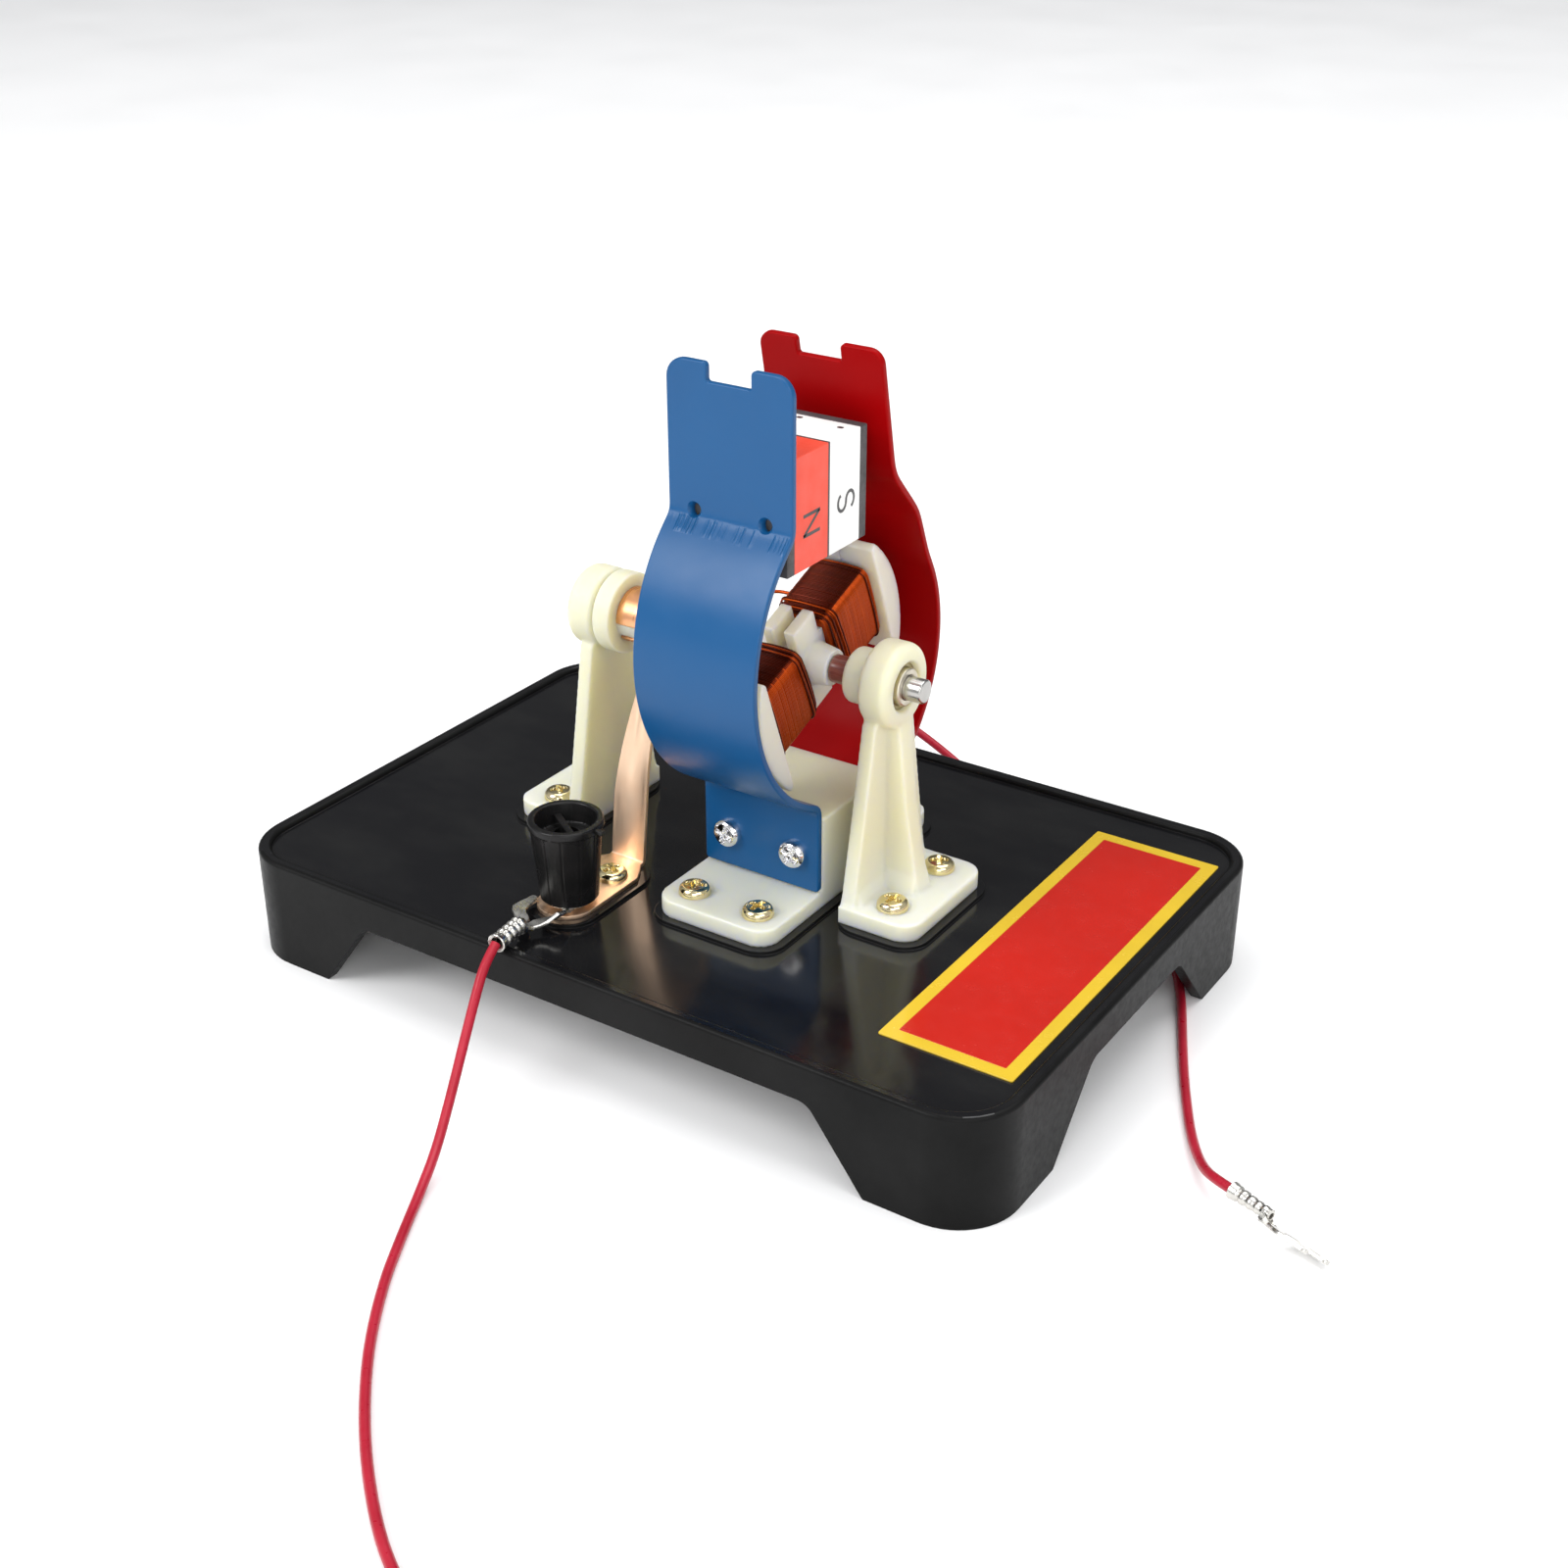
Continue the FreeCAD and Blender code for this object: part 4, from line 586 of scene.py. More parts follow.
def strip_mesh(stations, t, r=0.12):
    """Bent strip with eased edges. Each station is (y, z, ny, nz, xa, xb): a point on the inner face,
    the outward normal, and the strip's two edges there."""
    ring = 12
    verts, faces = [], []
    for y, z, ny, nz, xa, xb in stations:
        rr = min(r, max(0.01, (xb - xa) / 2 - 0.001))
        for k, (u, h) in enumerate([(xa + rr, 0), (xb - rr, 0), (xb - rr * 0.3, rr * 0.3), (xb, rr), (xb, t - rr), (xb - rr * 0.3, t - rr * 0.3),
                                    (xb - rr, t), (xa + rr, t), (xa + rr * 0.3, t - rr * 0.3), (xa, t - rr), (xa, rr), (xa + rr * 0.3, rr * 0.3)]):
            verts.append((u, y + ny * h, z + nz * h))
    m = len(stations)
    for i in range(m - 1):
        for k in range(ring):
            l = (k + 1) % ring
            faces.append((i * ring + k, i * ring + l, (i + 1) * ring + l, (i + 1) * ring + k))
    faces.append(tuple(reversed(range(ring))))
    faces.append(tuple(range((m - 1) * ring, m * ring)))
    return verts, faces


def path_stations(pts, widths, step=0.5):
    """Stations along a 2D path of (y, z, radius), each with its tangent and its distance along it. The widths argument
    is not used.
    """
    line = fillet2d(pts, 7)
    dense = []
    for (a, b), (c, d) in zip(line, line[1:]):
        n = max(1, int(math.hypot(c - a, d - b) / step))
        dense += [(a + (c - a) * k / n, b + (d - b) * k / n) for k in range(n)]
    dense.append(line[-1])
    out, s = [], 0.0
    for i, (y, z) in enumerate(dense):
        if i:
            s += math.hypot(y - dense[i - 1][0], z - dense[i - 1][1])
        ay, az = dense[max(i - 1, 0)]
        by, bz = dense[min(i + 1, len(dense) - 1)]
        L = math.hypot(by - ay, bz - az)
        out.append([y, z, (by - ay) / L, (bz - az) / L, s])
    return out, s


# ---------------------------------------------------------------- fork terminals
def fork(name, node, x, y, z, angle, body="root", rolled=False, lean=0.0, slim=0.0):
    """Tinned fork terminal, prongs ahead of the crimped barrel, drawn with the prongs towards +Y."""
    t, bl, br = 0.7, 7.4, 1.6
    y0 = bl + 1.2
    parts = []

    def prong(side):
        roll = math.radians(40 if side > 0 else 14) if rolled else 0.0
        st = []
        outline = [(y0 - 0.2, 0.0, 1.7), (y0 + 0.6, 0.1, 2.3), (y0 + 1.4, 0.3, 3.3), (y0 + 2.2, 0.9, 4.2), (y0 + 3.0, 1.9, 4.75), (y0 + 3.8, 2.55, 4.8),
                   (y0 + 5.2, 2.75, 4.65), (y0 + 6.6, 2.75, 4.45), (y0 + 7.5, 2.78, 4.35), (y0 + 8.0, 2.95, 4.2), (y0 + 8.2, 3.2, 3.95)]
        verts, faces = [], []
        ring = 8
        for yy, a, b in outline:
            k = max(0.0, min(1.0, (yy - y0 - 0.8) / 2.2)) * (1.0 - 0.75 * max(0.0, min(1.0, (yy - y0 - 5.0) / 1.8)))
            rr = 0.16
            sec = [(a + rr, 0), (b - rr, 0), (b, rr), (b, t - rr), (b - rr, t), (a + rr, t), (a, t - rr), (a, rr)]
            mid_, hh = (a + b) / 2, t / 2
            th = roll * k
            lift = abs(math.sin(th)) * (b - a) / 2
            for u, h in sec:
                du, dh = u - mid_, h - hh
                verts.append((side * (mid_ + du * math.cos(th) - dh * math.sin(th) * 1.0), yy, hh + du * math.sin(th) + dh * math.cos(th) + lift))
        m = len(outline)
        for i in range(m - 1):
            for q in range(ring):
                l = (q + 1) % ring
                faces.append((i * ring + q, i * ring + l, (i + 1) * ring + l, (i + 1) * ring + q))
        faces += [tuple(reversed(range(ring))), tuple(range((m - 1) * ring, m * ring))]
        return verts, faces

    parts.append(prong(1))
    parts.append(prong(-1))
    # rolled barrel: three crimp grooves and a flared mouth, its seam on top
    prof = []
    n = 60
    for i in range(n + 1):
        yy = bl * i / n
        r = br - 0.08
        for c in (1.7, 3.1, 4.5, 5.7):
            r -= 0.34 * math.exp(-((yy - c) / 0.30) ** 2)
        r += 0.07 * math.exp(-((yy - 0.1) / 0.3) ** 2)
        if yy > 6.4:
            r -= 0.5 * (yy - 6.4)
        # pressed harder towards the fork on a slim barrel
        r *= 1.0 - slim * (0.35 + 0.65 * min(1.0, yy / 4.5))
        prof.append((yy, max(0.95, r)))
    full = [(0.25, 1.02)] + [(0.0, prof[0][1] - 0.18), (0.06, prof[0][1] - 0.04)] + prof[1:] + [(bl + 0.1, 0.5), (bl - 0.4, 0.4)]

    def seam(tt, a, r):
        # a shallow valley where the two wings of the barrel meet on top
        d = (tt - math.pi / 2 + math.pi) % (2 * math.pi) - math.pi
        return r - (0.22 * math.exp(-(d / 0.16) ** 2) if a > 0.2 and r > 0.9 else 0.0)

    parts.append(lathe(full, 48, "y", (0, 0, br), seam))
    # channel between the barrel and the fork
    neck = []
    for i in range(9):
        u = i / 8
        yy = bl - 1.0 + u * 2.6
        half = 1.35 + 0.35 * u
        rise = 1.25 * (1 - u) ** 1.6
        neck.append((yy, half, rise))
    verts, faces = [], []
    for yy, half, rise in neck:
        prof2 = [(-half, rise), (-half * 0.9, rise * 0.35), (-half * 0.55, 0.02), (0, 0), (half * 0.55, 0.02), (half * 0.9, rise * 0.35), (half, rise)]
        for u, h in prof2:
            verts.append((u, yy, h))
        for u, h in reversed(prof2):
            verts.append((u * 0.84, yy, h + 0.62))
    w = 14
    for i in range(len(neck) - 1):
        for k in range(w):
            l = (k + 1) % w
            faces.append((i * w + k, i * w + l, (i + 1) * w + l, (i + 1) * w + k))
    faces += [tuple(reversed(range(w))), tuple(range((len(neck) - 1) * w, len(neck) * w))]
    parts.append((verts, faces))
    turn = Matrix.Rotation(math.radians(angle), 3, "Z") @ Matrix.Rotation(math.radians(lean), 3, "Y")
    axis = Vector((0, 0, br))
    o = make(name, *joined(*parts), M_TIN, lambda p: tuple(turn @ (Vector(p) - axis) + axis + Vector((x, y, z))))
    smooth(o, 40)
    return put(o, body, "tin", node)


def heading(route):
    (ax, ay, _), (bx, by, _) = route[-2], route[-1]
    return math.degrees(math.atan2(by - ay, bx - ax)) - 90.0


fork_near = fork("fork_near", "fork_terminal_near", -13.6, -51.2, FOOT_TOP, 6.3, rolled=True)
fork_far = fork("fork_far", "fork_terminal_far", -13.8, 51.2, FOOT_TOP, 180.0)
loose_near = fork("fork_loose_near", "fork_terminal_loose_near", WIRE_NEAR[-1][0], WIRE_NEAR[-1][1], 0.0, heading(WIRE_NEAR))
loose_far = fork("fork_loose_far", "fork_terminal_loose_far", WIRE_FAR[-1][0], WIRE_FAR[-1][1], WIRE_FAR[-1][2] - 1.6, heading(WIRE_FAR), lean=-41.7, slim=0.3)

for nm, node, route, tip in (("lead_near", "wire_near", WIRE_NEAR, loose_near), ("lead_far", "wire_far", WIRE_FAR, loose_far)):
    w_ = put(wire(nm, route), "root", "wire_red", node)

# ---------------------------------------------------------------- base and label
tray = from_cad("base", "base_moulding", 0.32, M_WALL, "root", "black_plastic", 3, 30)
tray.data.materials.append(M_PANEL)
for p in tray.data.polygons:
    if p.normal.z > 0.9 and p.center.z > 18.5 * MM and abs(p.center.x) < 72.6 * MM and abs(p.center.y) < 47.6 * MM:
        p.material_index = 1

LX0, LX1, LY0, LY1 = 48.0, 71.0, -35.5, 40.0
lab = make("label_border", *prism(round_rect((LX1 - LX0) / 2, (LY1 - LY0) / 2, 0.35, (LX0 + LX1) / 2, (LY0 + LY1) / 2, 4), 19.0, 19.3), M_YELLOW)
bevel(lab, 0.06, 2, 40, False)
put(lab, "root", "label", "label_plate")
field = make("label_field", *prism(round_rect((LX1 - LX0) / 2 - 2.35, (LY1 - LY0) / 2 - 2.35, 0.2, (LX0 + LX1) / 2, (LY0 + LY1) / 2, 3), 19.2, 19.36), M_RED_FIELD)
bevel(field, 0.04, 2, 40, False)
put(field, "root", "label")


# ---------------------------------------------------------------- nylon brackets
def bracket(name, node, turned):
    flange = prism(round_rect(7.0, 12.4, 3.6, 33.3, 0.0, 8, (1, 0, 0, 1)), SEAT, 22.8)
    up = prism([(-11.7, 20.6), (11.7, 20.6), (11.7, 22.8), (11.2, 24.6), (8.6, 38.0), (5.9, 53.0), (4.6, 54.6), (-4.6, 54.6), (-5.9, 53.0), (-8.6, 38.0),
                (-11.2, 24.6), (-11.7, 22.8)], 26.3, 28.9, "x")
    rib = prism([(27.3, 21.0), (35.6, 21.0), (35.5, 23.0), (34.6, 27.0), (32.6, 38.0), (31.0, 52.6), (29.0, 54.2), (27.3, 54.2)], -1.9, 1.9, "y")
    # the rib and the upright flare into the flange
    flare = prism([(27.3, 21.5), (30.2, 21.5), (29.7, 23.6), (28.9, 25.4), (27.3, 26.2)], -10.6, 10.6, "y")
    skirt = prism([(-3.4, 21.5), (3.4, 21.5), (2.6, 23.9), (1.9, 26.0), (-1.9, 26.0), (-2.6, 23.9)], 28.0, 34.9, "x")
    prof = fillet2d([(25.7, 5.0), (25.7, 7.1, 1.3), (31.1, 7.1, 2.1), (31.1, 4.1, 0.35), (29.9, 4.1), (29.9, 3.25), (25.7, 3.25), (25.7, 5.0)], 7)[:-1]
    boss = lathe(prof, 72)
    o = moulded(name, [flange, up, rib, flare, skirt, boss], M_NYLON)
    if turned:
        o.data.transform(Matrix.Translation((-1.8 * MM, 0, 0)) @ Matrix.Rotation(math.pi, 4, "Z"))
    put(o, "root", "nylon", node)
    # crisp seat lining of the boss, where the bush and its oil ring sit
    s, off = (-1, -1.8) if turned else (1, 0.0)
    ring = make(name + "_oil_ring", *lathe(fillet2d([(29.2, 3.26), (29.2, 4.2), (30.05, 4.2), (30.15, 3.9, 0.1), (30.15, 3.26)], 3), 64), M_OILRING,
                lambda p: (off + s * p[0], p[1], p[2]))
    smooth(ring, 35)
    put(ring, "root", "steel")
    bush = make(name + "_bush", *lathe(fillet2d([(25.6, 2.06), (25.6, 3.2, 0.2), (31.3, 3.2, 0.35), (31.3, 2.06, 0.25), (30.9, 2.06), (25.6, 2.06)], 4)[:-1], 72), M_BUSH,
                lambda p: (off + s * p[0], p[1], p[2]))
    smooth(bush, 35)
    put(bush, "root", "steel", "bush_rear" if turned else "bush_front")


bracket("bracket_front", "bearing_bracket_front", False)
bracket("bracket_rear", "bearing_bracket_rear", True)

pole_flange = prism(round_rect(11.3, 26.4, 3.6, 10.4, 0.0, 8), SEAT, 22.7)
pole_block = prism(round_rect(11.3, 10.0, 0.8, 10.4, 0.0, 3), 20.0, 36.3)
put(moulded("pole_bracket_moulding", [pole_flange, pole_block], M_NYLON, passes=6), "root", "nylon", "pole_bracket")

# ---------------------------------------------------------------- pole pieces
def inset(outline, d):
    """Closed outline moved inwards by d, corner by corner."""
    n = len(outline)
    area = sum(outline[i][0] * outline[(i + 1) % n][1] - outline[(i + 1) % n][0] * outline[i][1] for i in range(n))
    sg = 1.0 if area > 0 else -1.0
    out = []
    for i in range(n):
        p0, p1, p2 = Vector(outline[i - 1]), Vector(outline[i]), Vector(outline[(i + 1) % n])
        u, v = (p1 - p0).normalized(), (p2 - p1).normalized()
        n1, n2 = Vector((-u.y, u.x)) * sg, Vector((-v.y, v.x)) * sg
        b_ = (n1 + n2)
        b_ = b_ / max(0.5, b_.dot(n1))
        out.append(tuple(p1 + b_ * d))
    return out


def bent_plate(name, node, route, side, ear, shift, dimple_z, mat, slot, soft):
    """Steel strip cut flat with its notch, ears and punch holes, then bent along the route of its outer face."""
    t = 1.2
    # even steps along the route, with the bends eased
    ds = 0.25
    pts = [Vector(route[0])]
    for a_, b_ in zip(route, route[1:]):
        a_, b_ = Vector(a_), Vector(b_)
        n = max(1, round((b_ - a_).length / ds))
        pts += [a_ + (b_ - a_) * k / n for k in range(1, n + 1)]
    half = int(3 * soft / ds)
    ker = [math.exp(-0.5 * (k * ds / soft) ** 2) for k in range(-half, half + 1)]
    line = []
    for i in range(len(pts)):
        acc, wsum = Vector((0, 0)), 0.0
        for k, w_ in zip(range(-half, half + 1), ker):
            j = i + k
            if j < 0:
                q = pts[0] * 2 - pts[min(-j, len(pts) - 1)]
            elif j >= len(pts):
                q = pts[-1] * 2 - pts[max(2 * (len(pts) - 1) - j, 0)]
            else:
                q = pts[j]
            acc += q * w_
            wsum += w_
        line.append(acc / wsum)
    dist = [0.0]
    for a_, b_ in zip(line, line[1:]):
        dist.append(dist[-1] + (b_ - a_).length)
    S_ = dist[-1]
    s_of_z = lambda z: min((abs(q.y - z) + (0 if d > S_ * 0.5 else 99), d) for q, d in zip(line, dist))[1]
    x0, x1 = -0.9, 21.7
    nc = XC + 0.1 + shift
    outline = fillet2d([(XC, 0.0), (x1, 0.0, 0.7), (x1, S_, ear), (nc + 4.0, S_, 0.75), (nc + 4.0, S_ - 2.9, 0.45), (nc - 4.0, S_ - 2.9, 0.45), (nc - 4.0, S_, 0.75),
                        (x0, S_, ear), (x0, 0.0, 0.7), (XC, 0.0)], 7)[:-1]
    rim = [(0.30, 0.0), (0.15, 0.04), (0.04, 0.15), (0.0, 0.30), (0.0, t - 0.30), (0.04, t - 0.15), (0.15, t - 0.04), (0.30, t)]
    n = len(outline)
    verts, faces = [], []
    for d, h in rim:
        verts += [(x, s_, h) for x, s_ in inset(outline, d)]
    for k in range(len(rim) - 1):
        for i in range(n):
            j = (i + 1) % n
            faces.append((k * n + i, k * n + j, (k + 1) * n + j, (k + 1) * n + i))
    faces += [tuple(reversed(range(n))), tuple(range((len(rim) - 1) * n, len(rim) * n))]
    o = make(name, verts, faces, mat)
    # punch holes, opened a little on the outer face
    cutters = []
    for sg in (-1, 1):
        prof = [(-0.5, 0.0), (-0.5, 1.75), (0.0, 1.32), (0.22, 1.1), (0.62, 0.82), (t + 0.5, 0.7), (t + 0.5, 0.0)]
        if side > 0:
            # the red strip's punch marks stop short of its inner face
            prof = prof[:5] + [(0.85, 0.6), (0.9, 0.0)]
        c = make(name + "_cut", *lathe(prof, 28, "z", (XC + 0.1 + 6.5 * sg, s_of_z(dimple_z), 0.0), closed=False), mat)
        weld(c)
        cutters.append(c)
        m_ = o.modifiers.new("hole", "BOOLEAN")
        m_.operation = "DIFFERENCE"
        m_.solver = "EXACT"
        m_.object = c
    dg = bpy.context.evaluated_depsgraph_get()
    me = bpy.data.meshes.new_from_object(o.evaluated_get(dg))
    o.modifiers.clear()
    o.data = me
    for c in cutters:
        bpy.data.objects.remove(c)
    bm = bmesh.new()
    bm.from_mesh(me)
    # cut across at every step where the route bends
    last = -9.0
    for i in range(2, len(line) - 2):
        u, v = (line[i] - line[i - 2]).normalized(), (line[i + 2] - line[i]).normalized()
        turn = abs(u.x * v.y - u.y * v.x)
        gap = dist[i] - last
        if (turn > 0.02 and gap > 0.3) or (turn > 0.001 and gap > 0.9):
            last = dist[i]
            bmesh.ops.bisect_plane(bm, geom=bm.verts[:] + bm.edges[:] + bm.faces[:], dist=1e-7, plane_co=(0, last * MM, 0), plane_no=(0, 1, 0))
    for v in bm.verts:
        s_, h = max(0.0, min(S_, v.co.y / MM)), v.co.z / MM
        lo, hi = 0, len(dist) - 1
        while hi - lo > 1:
            mid_ = (lo + hi) // 2
            if dist[mid_] <= s_:
                lo = mid_
            else:
                hi = mid_
        f = (s_ - dist[lo]) / (dist[hi] - dist[lo])
        q = line[lo].lerp(line[hi], f)
        a_, b_ = line[max(lo - 1, 0)], line[min(hi + 1, len(line) - 1)]
        tg = (b_ - a_).normalized()
        nx, nz = (tg.y * -side, -tg.x * -side)
        v.co = Vector((v.co.x, (q.x + nx * h) * MM, (q.y + nz * h) * MM))
    bmesh.ops.recalc_face_normals(bm, faces=bm.faces)
    for f_ in bm.faces:
        f_.smooth = True
    for e in bm.edges:
        e.smooth = not (len(e.link_faces) == 2 and e.calc_face_angle(0.0) > math.radians(42))
    bm.to_mesh(me)
    bm.free()
    w_ = o.modifiers.new("normals", "WEIGHTED_NORMAL")
    w_.keep_sharp = True
    return put(o, "root", slot, node)


def arc2d(cy, cz, r, a0, a1, step=2.0):
    n = max(2, int(abs(a1 - a0) / step))
    return [(cy + r * math.cos(math.radians(a0 + (a1 - a0) * i / n)), cz + r * math.sin(math.radians(a0 + (a1 - a0) * i / n))) for i in range(n + 1)]


bz = 65.36 - math.sqrt(29.25 ** 2 - 10.85 ** 2)
bt = 65.36 + math.sqrt(29.25 ** 2 - 18.75 ** 2)
blue_route = [(-11.2, 23.0)] + arc2d(-0.35, 65.36, 29.25, math.degrees(math.atan2(bz - 65.36, -10.85)) + 360.0, math.degrees(math.atan2(bt - 65.36, -18.75))) + [(-19.1, 112.0)]
rz = 57.0 - math.sqrt(25.9 ** 2 - 9.7 ** 2)
red_route = [(11.2, 23.0)] + arc2d(1.5, 57.0, 25.9, math.degrees(math.atan2(rz - 57.0, 9.7)), math.degrees(math.asin(15.0 / 25.9))) + [(18.9, 80.9), (11.0, 89.4), (6.6, 110.3)]
bent_plate("pole_blue", "pole_piece_blue", blue_route, -1, 3.2, 0.0, 88.9, M_BLUE, "blue_paint", 0.75)
bent_plate("pole_red", "pole_piece_red", red_route, 1, 2.4, -0.25, 87.8, M_RED, "red_paint", 1.5)


# ---------------------------------------------------------------- screws
def screw_mesh(R, length, hh=1.7, n=72, m=26):
    """Pan head with a cross recess, seat at z = 0."""
    verts, faces = [], []

    def dome(r):
        q = r / R
        if q < 0.62:
            return hh * (1 - 0.10 * (q / 0.62) ** 2)
        u = (q - 0.62) / 0.38
        return 0.28 + (hh * 0.90 - 0.28) * math.sqrt(max(0.0, 1 - u ** 2.1))

    def recess(x, y):
        d = 0.0
        for a, b in ((x, y), (y, x)):
            reach = 1.62
            if abs(a) < reach:
                w = 0.52 - 0.12 * abs(a) / reach
                e = max(0.0, min(1.0, (w - abs(b)) / 0.11))
                e = e * e * (3 - 2 * e)
                f = max(0.0, min(1.0, (reach - abs(a)) / 0.28))
                d = max(d, e * f * (1.3 - 0.5 * abs(a) / reach))
        return d

    verts.append((0, 0, dome(0) - recess(0, 0)))
    for j in range(1, m + 1):
        r = R * (j / m) ** 0.92
        for i in range(n):
            a = 2 * math.pi * i / n
            x, y = r * math.cos(a), r * math.sin(a)
            verts.append((x, y, dome(r) - recess(x, y)))
    for i in range(n):
        faces.append((0, 1 + i, 1 + (i + 1) % n))
    for j in range(m - 1):
        for i in range(n):
            k = (i + 1) % n
            faces.append((1 + j * n + i, 1 + (j + 1) * n + i, 1 + (j + 1) * n + k, 1 + j * n + k))
    # skirt, seat and shank
    rings = [(R, 0.0), (1.35, 0.0), (1.35, -length + 0.7), (0.5, -length)]
    base = 1 + (m - 1) * n
    for r, z in rings:
        off = len(verts)
        for i in range(n):
            a = 2 * math.pi * i / n
            verts.append((r * math.cos(a), r * math.sin(a), z))
        for i in range(n):
            k = (i + 1) % n
            faces.append((base + i, off + i, off + k, base + k))
        base = off
    faces.append(tuple(reversed(range(base, base + n))))
    return verts, faces


def screws(name, node, spots, R, length, mat, slot):
    head = screw_mesh(R, length)
    parts = []
    for x, y, z, axis, ang in spots:
        rot = Matrix.Rotation(math.radians(ang), 3, "Z")
        if axis:
            rot = Matrix.Rotation(math.radians(-90.0 * axis), 3, "X") @ rot
        parts.append(([tuple(rot @ Vector(v) + Vector((x, y, z))) for v in head[0]], head[1]))
    o = make(name, *joined(*parts), mat)
    smooth(o, 50)
    return put(o, "root", slot, node)


spots = [(10.4 + 6.3 * a, 21.5 * b, 22.7, 0, 24 + 31 * (a + 2 * b)) for a in (-1, 1) for b in (-1, 1)]
spots += [(33.9, 7.6 * b, 22.8, 0, 12 + 20 * b) for b in (-1, 1)] + [(-35.7, 7.6 * b, 22.8, 0, 40 * b) for b in (-1, 1)]
screws("flange_screw_set", "flange_screws", spots, 2.7, 8.6, M_GOLD, "gold")
screws("brush_screw_set", "brush_screws", [(-13.0, 21.8 * b, FOOT_TOP, 0, 20 * b) for b in (-1, 1)], 2.7, 6.4, M_GOLD, "gold")
screws("pole_screw_set", "pole_screws", [(10.4 + 6.5 * a, 11.2 * s, 29.3, s, 18 + 37 * a) for a in (-1, 1) for s in (-1, 1)], 2.55, 7.0, M_CHROME, "chrome")

# ---------------------------------------------------------------- brushes
for label, s in (("near", -1), ("far", 1)):
    # outer-face path from the tip of the strip down to the foot's nose; the strip thickness lies inside it
    pts = [(4.4, 61.5), (12.1, 39.5, 55.0), (14.45, SEAT, 1.1), (37.4, SEAT)]
    line, total = path_stations(pts, None, 0.45)
    st = []
    for y, z, ty, tz, dist in line:
        # normal on the side away from the commutator, and upwards on the foot
        ny, nz = -tz, ty
        if nz < -0.01 and ny < 0:
            ny, nz = -ny, -nz
        left = total - dist
        xa, xb = -18.2 + 2.3 * max(0.0, min(1.0, (z - 31.5) / 18.5)), -11.4
        if dist < 1.2:
            e = 1.2 - math.sqrt(max(0.0, 1.44 - (1.2 - dist) ** 2))
            xa, xb = xa + e, xb - e
        back = 37.4 - left
        if z < SEAT + 0.3:
            xb = -11.4 + 0.9 * max(0.0, min(1.0, (back - 15.9) / 1.3)) + 1.4 * max(0.0, min(1.0, (back - 17.2) / 2.6))
            xa = -18.2 - 1.2 * max(0.0, min(1.0, (back - 15.9) / 1.4))
        rn = 5.15
        if left < rn:
            h = math.sqrt(max(0.0, rn * rn - (rn - left) ** 2))
            xa, xb = -14.25 - max(h, 0.3), -14.25 + max(h, 0.3)
        st.append((y * s, z, ny * s, nz, xa, xb))
    o = make("brush_%s_strap" % label, *strip_mesh(st, 0.8, 0.14), M_COPPER)
    smooth(o, 30)
    put(o, "root", "copper", "brush_" + label)


# ---------------------------------------------------------------- terminal knobs
def knob(label, s):
    cx, cy = -13.8, 32.2 * s
    kb, kt, rb, rt = 21.75, 36.3, 4.9, 6.3
    prof = fillet2d([(kb, 2.1), (kb, rb, 0.3), (kt - 1.5, rt - 0.28, 0.5), (kt - 1.2, rt, 0.2), (kt, rt, 0.35), (kt, 5.1, 0.3), (kt - 3.4, 4.7, 0.4),
                     (kt - 3.7, 2.9, 0.3), (kt - 2.9, 2.6, 0.2), (kt - 2.9, 2.1), (kb, 2.1)], 4)[:-1]

    def ribs(t, a, r):
        # broad shallow panels below a plain rim
        if r < 4.4 or a > kt - 1.3:
            return r
        fade = min(1.0, (kt - 1.3 - a) / 0.5)
        w = (t * 12 / (2 * math.pi)) % 1.0
        d = min(w, 1 - w) * 2
        return r - 0.17 * fade * max(0.0, 1 - d / 0.14) - 0.09 * fade * (d if d > 0.14 else 0.0)

    o = make("knob_" + label, *lathe(prof, 224, "z", (cx, cy, 0), ribs), M_KNOB)
    smooth(o, 38)
    put(o, "knob_" + label, "knob_plastic", "terminal_knob_" + label)
    # screwdriver slot across the hollow top
    bar = make("knob_%s_web" % label, *prism(round_rect(0.6, 4.65, 0.15, cx, cy, 3), kt - 3.6, kt - 1.6), M_KNOB)
    bevel(bar, 0.15, 2, 40, False)
    bar.data.transform(Matrix.Translation((cx * MM, cy * MM, 0)) @ Matrix.Rotation(math.radians(57), 4, "Z") @ Matrix.Translation((-cx * MM, -cy * MM, 0)))
    put(bar, "knob_" + label, "knob_plastic")


    # stop pip on the rim
    pip = make("knob_%s_pip" % label, *prism(round_rect(0.95, 0.42, 0.25, cx + rt + 0.55, cy, 3), kt - 1.15, kt - 0.35), M_KNOB)
    bevel(pip, 0.12, 2, 40, False)
    put(pip, "knob_" + label, "knob_plastic")


knob("near", -1)
knob("far", 1)
for label in ("near", "far"):
    from_cad("clamp_washer_" + label, "washer_" + label, 0.09, M_TIN, "clamp_" + label, "tin", 2)
from_cad("terminal_studs", "studs", 0.2, M_STEEL, "root", "steel", 2)

# ---------------------------------------------------------------- magnet
X0, X1, Y0, Y1, Z0, Z1 = 0.9, 19.9, -17.6, 4.8, 80.4, 98.8
MID = -6.2


def brick(name, x0, x1, y0, y1, z0, z1, w, mat, slot, *nodes):
    o = make(name, *prism([(x0, y0), (x1, y0), (x1, y1), (x0, y1)], z0, z1), mat)
    bevel(o, w, 3, 30, False)
    return put(o, "magnet", slot, *nodes)


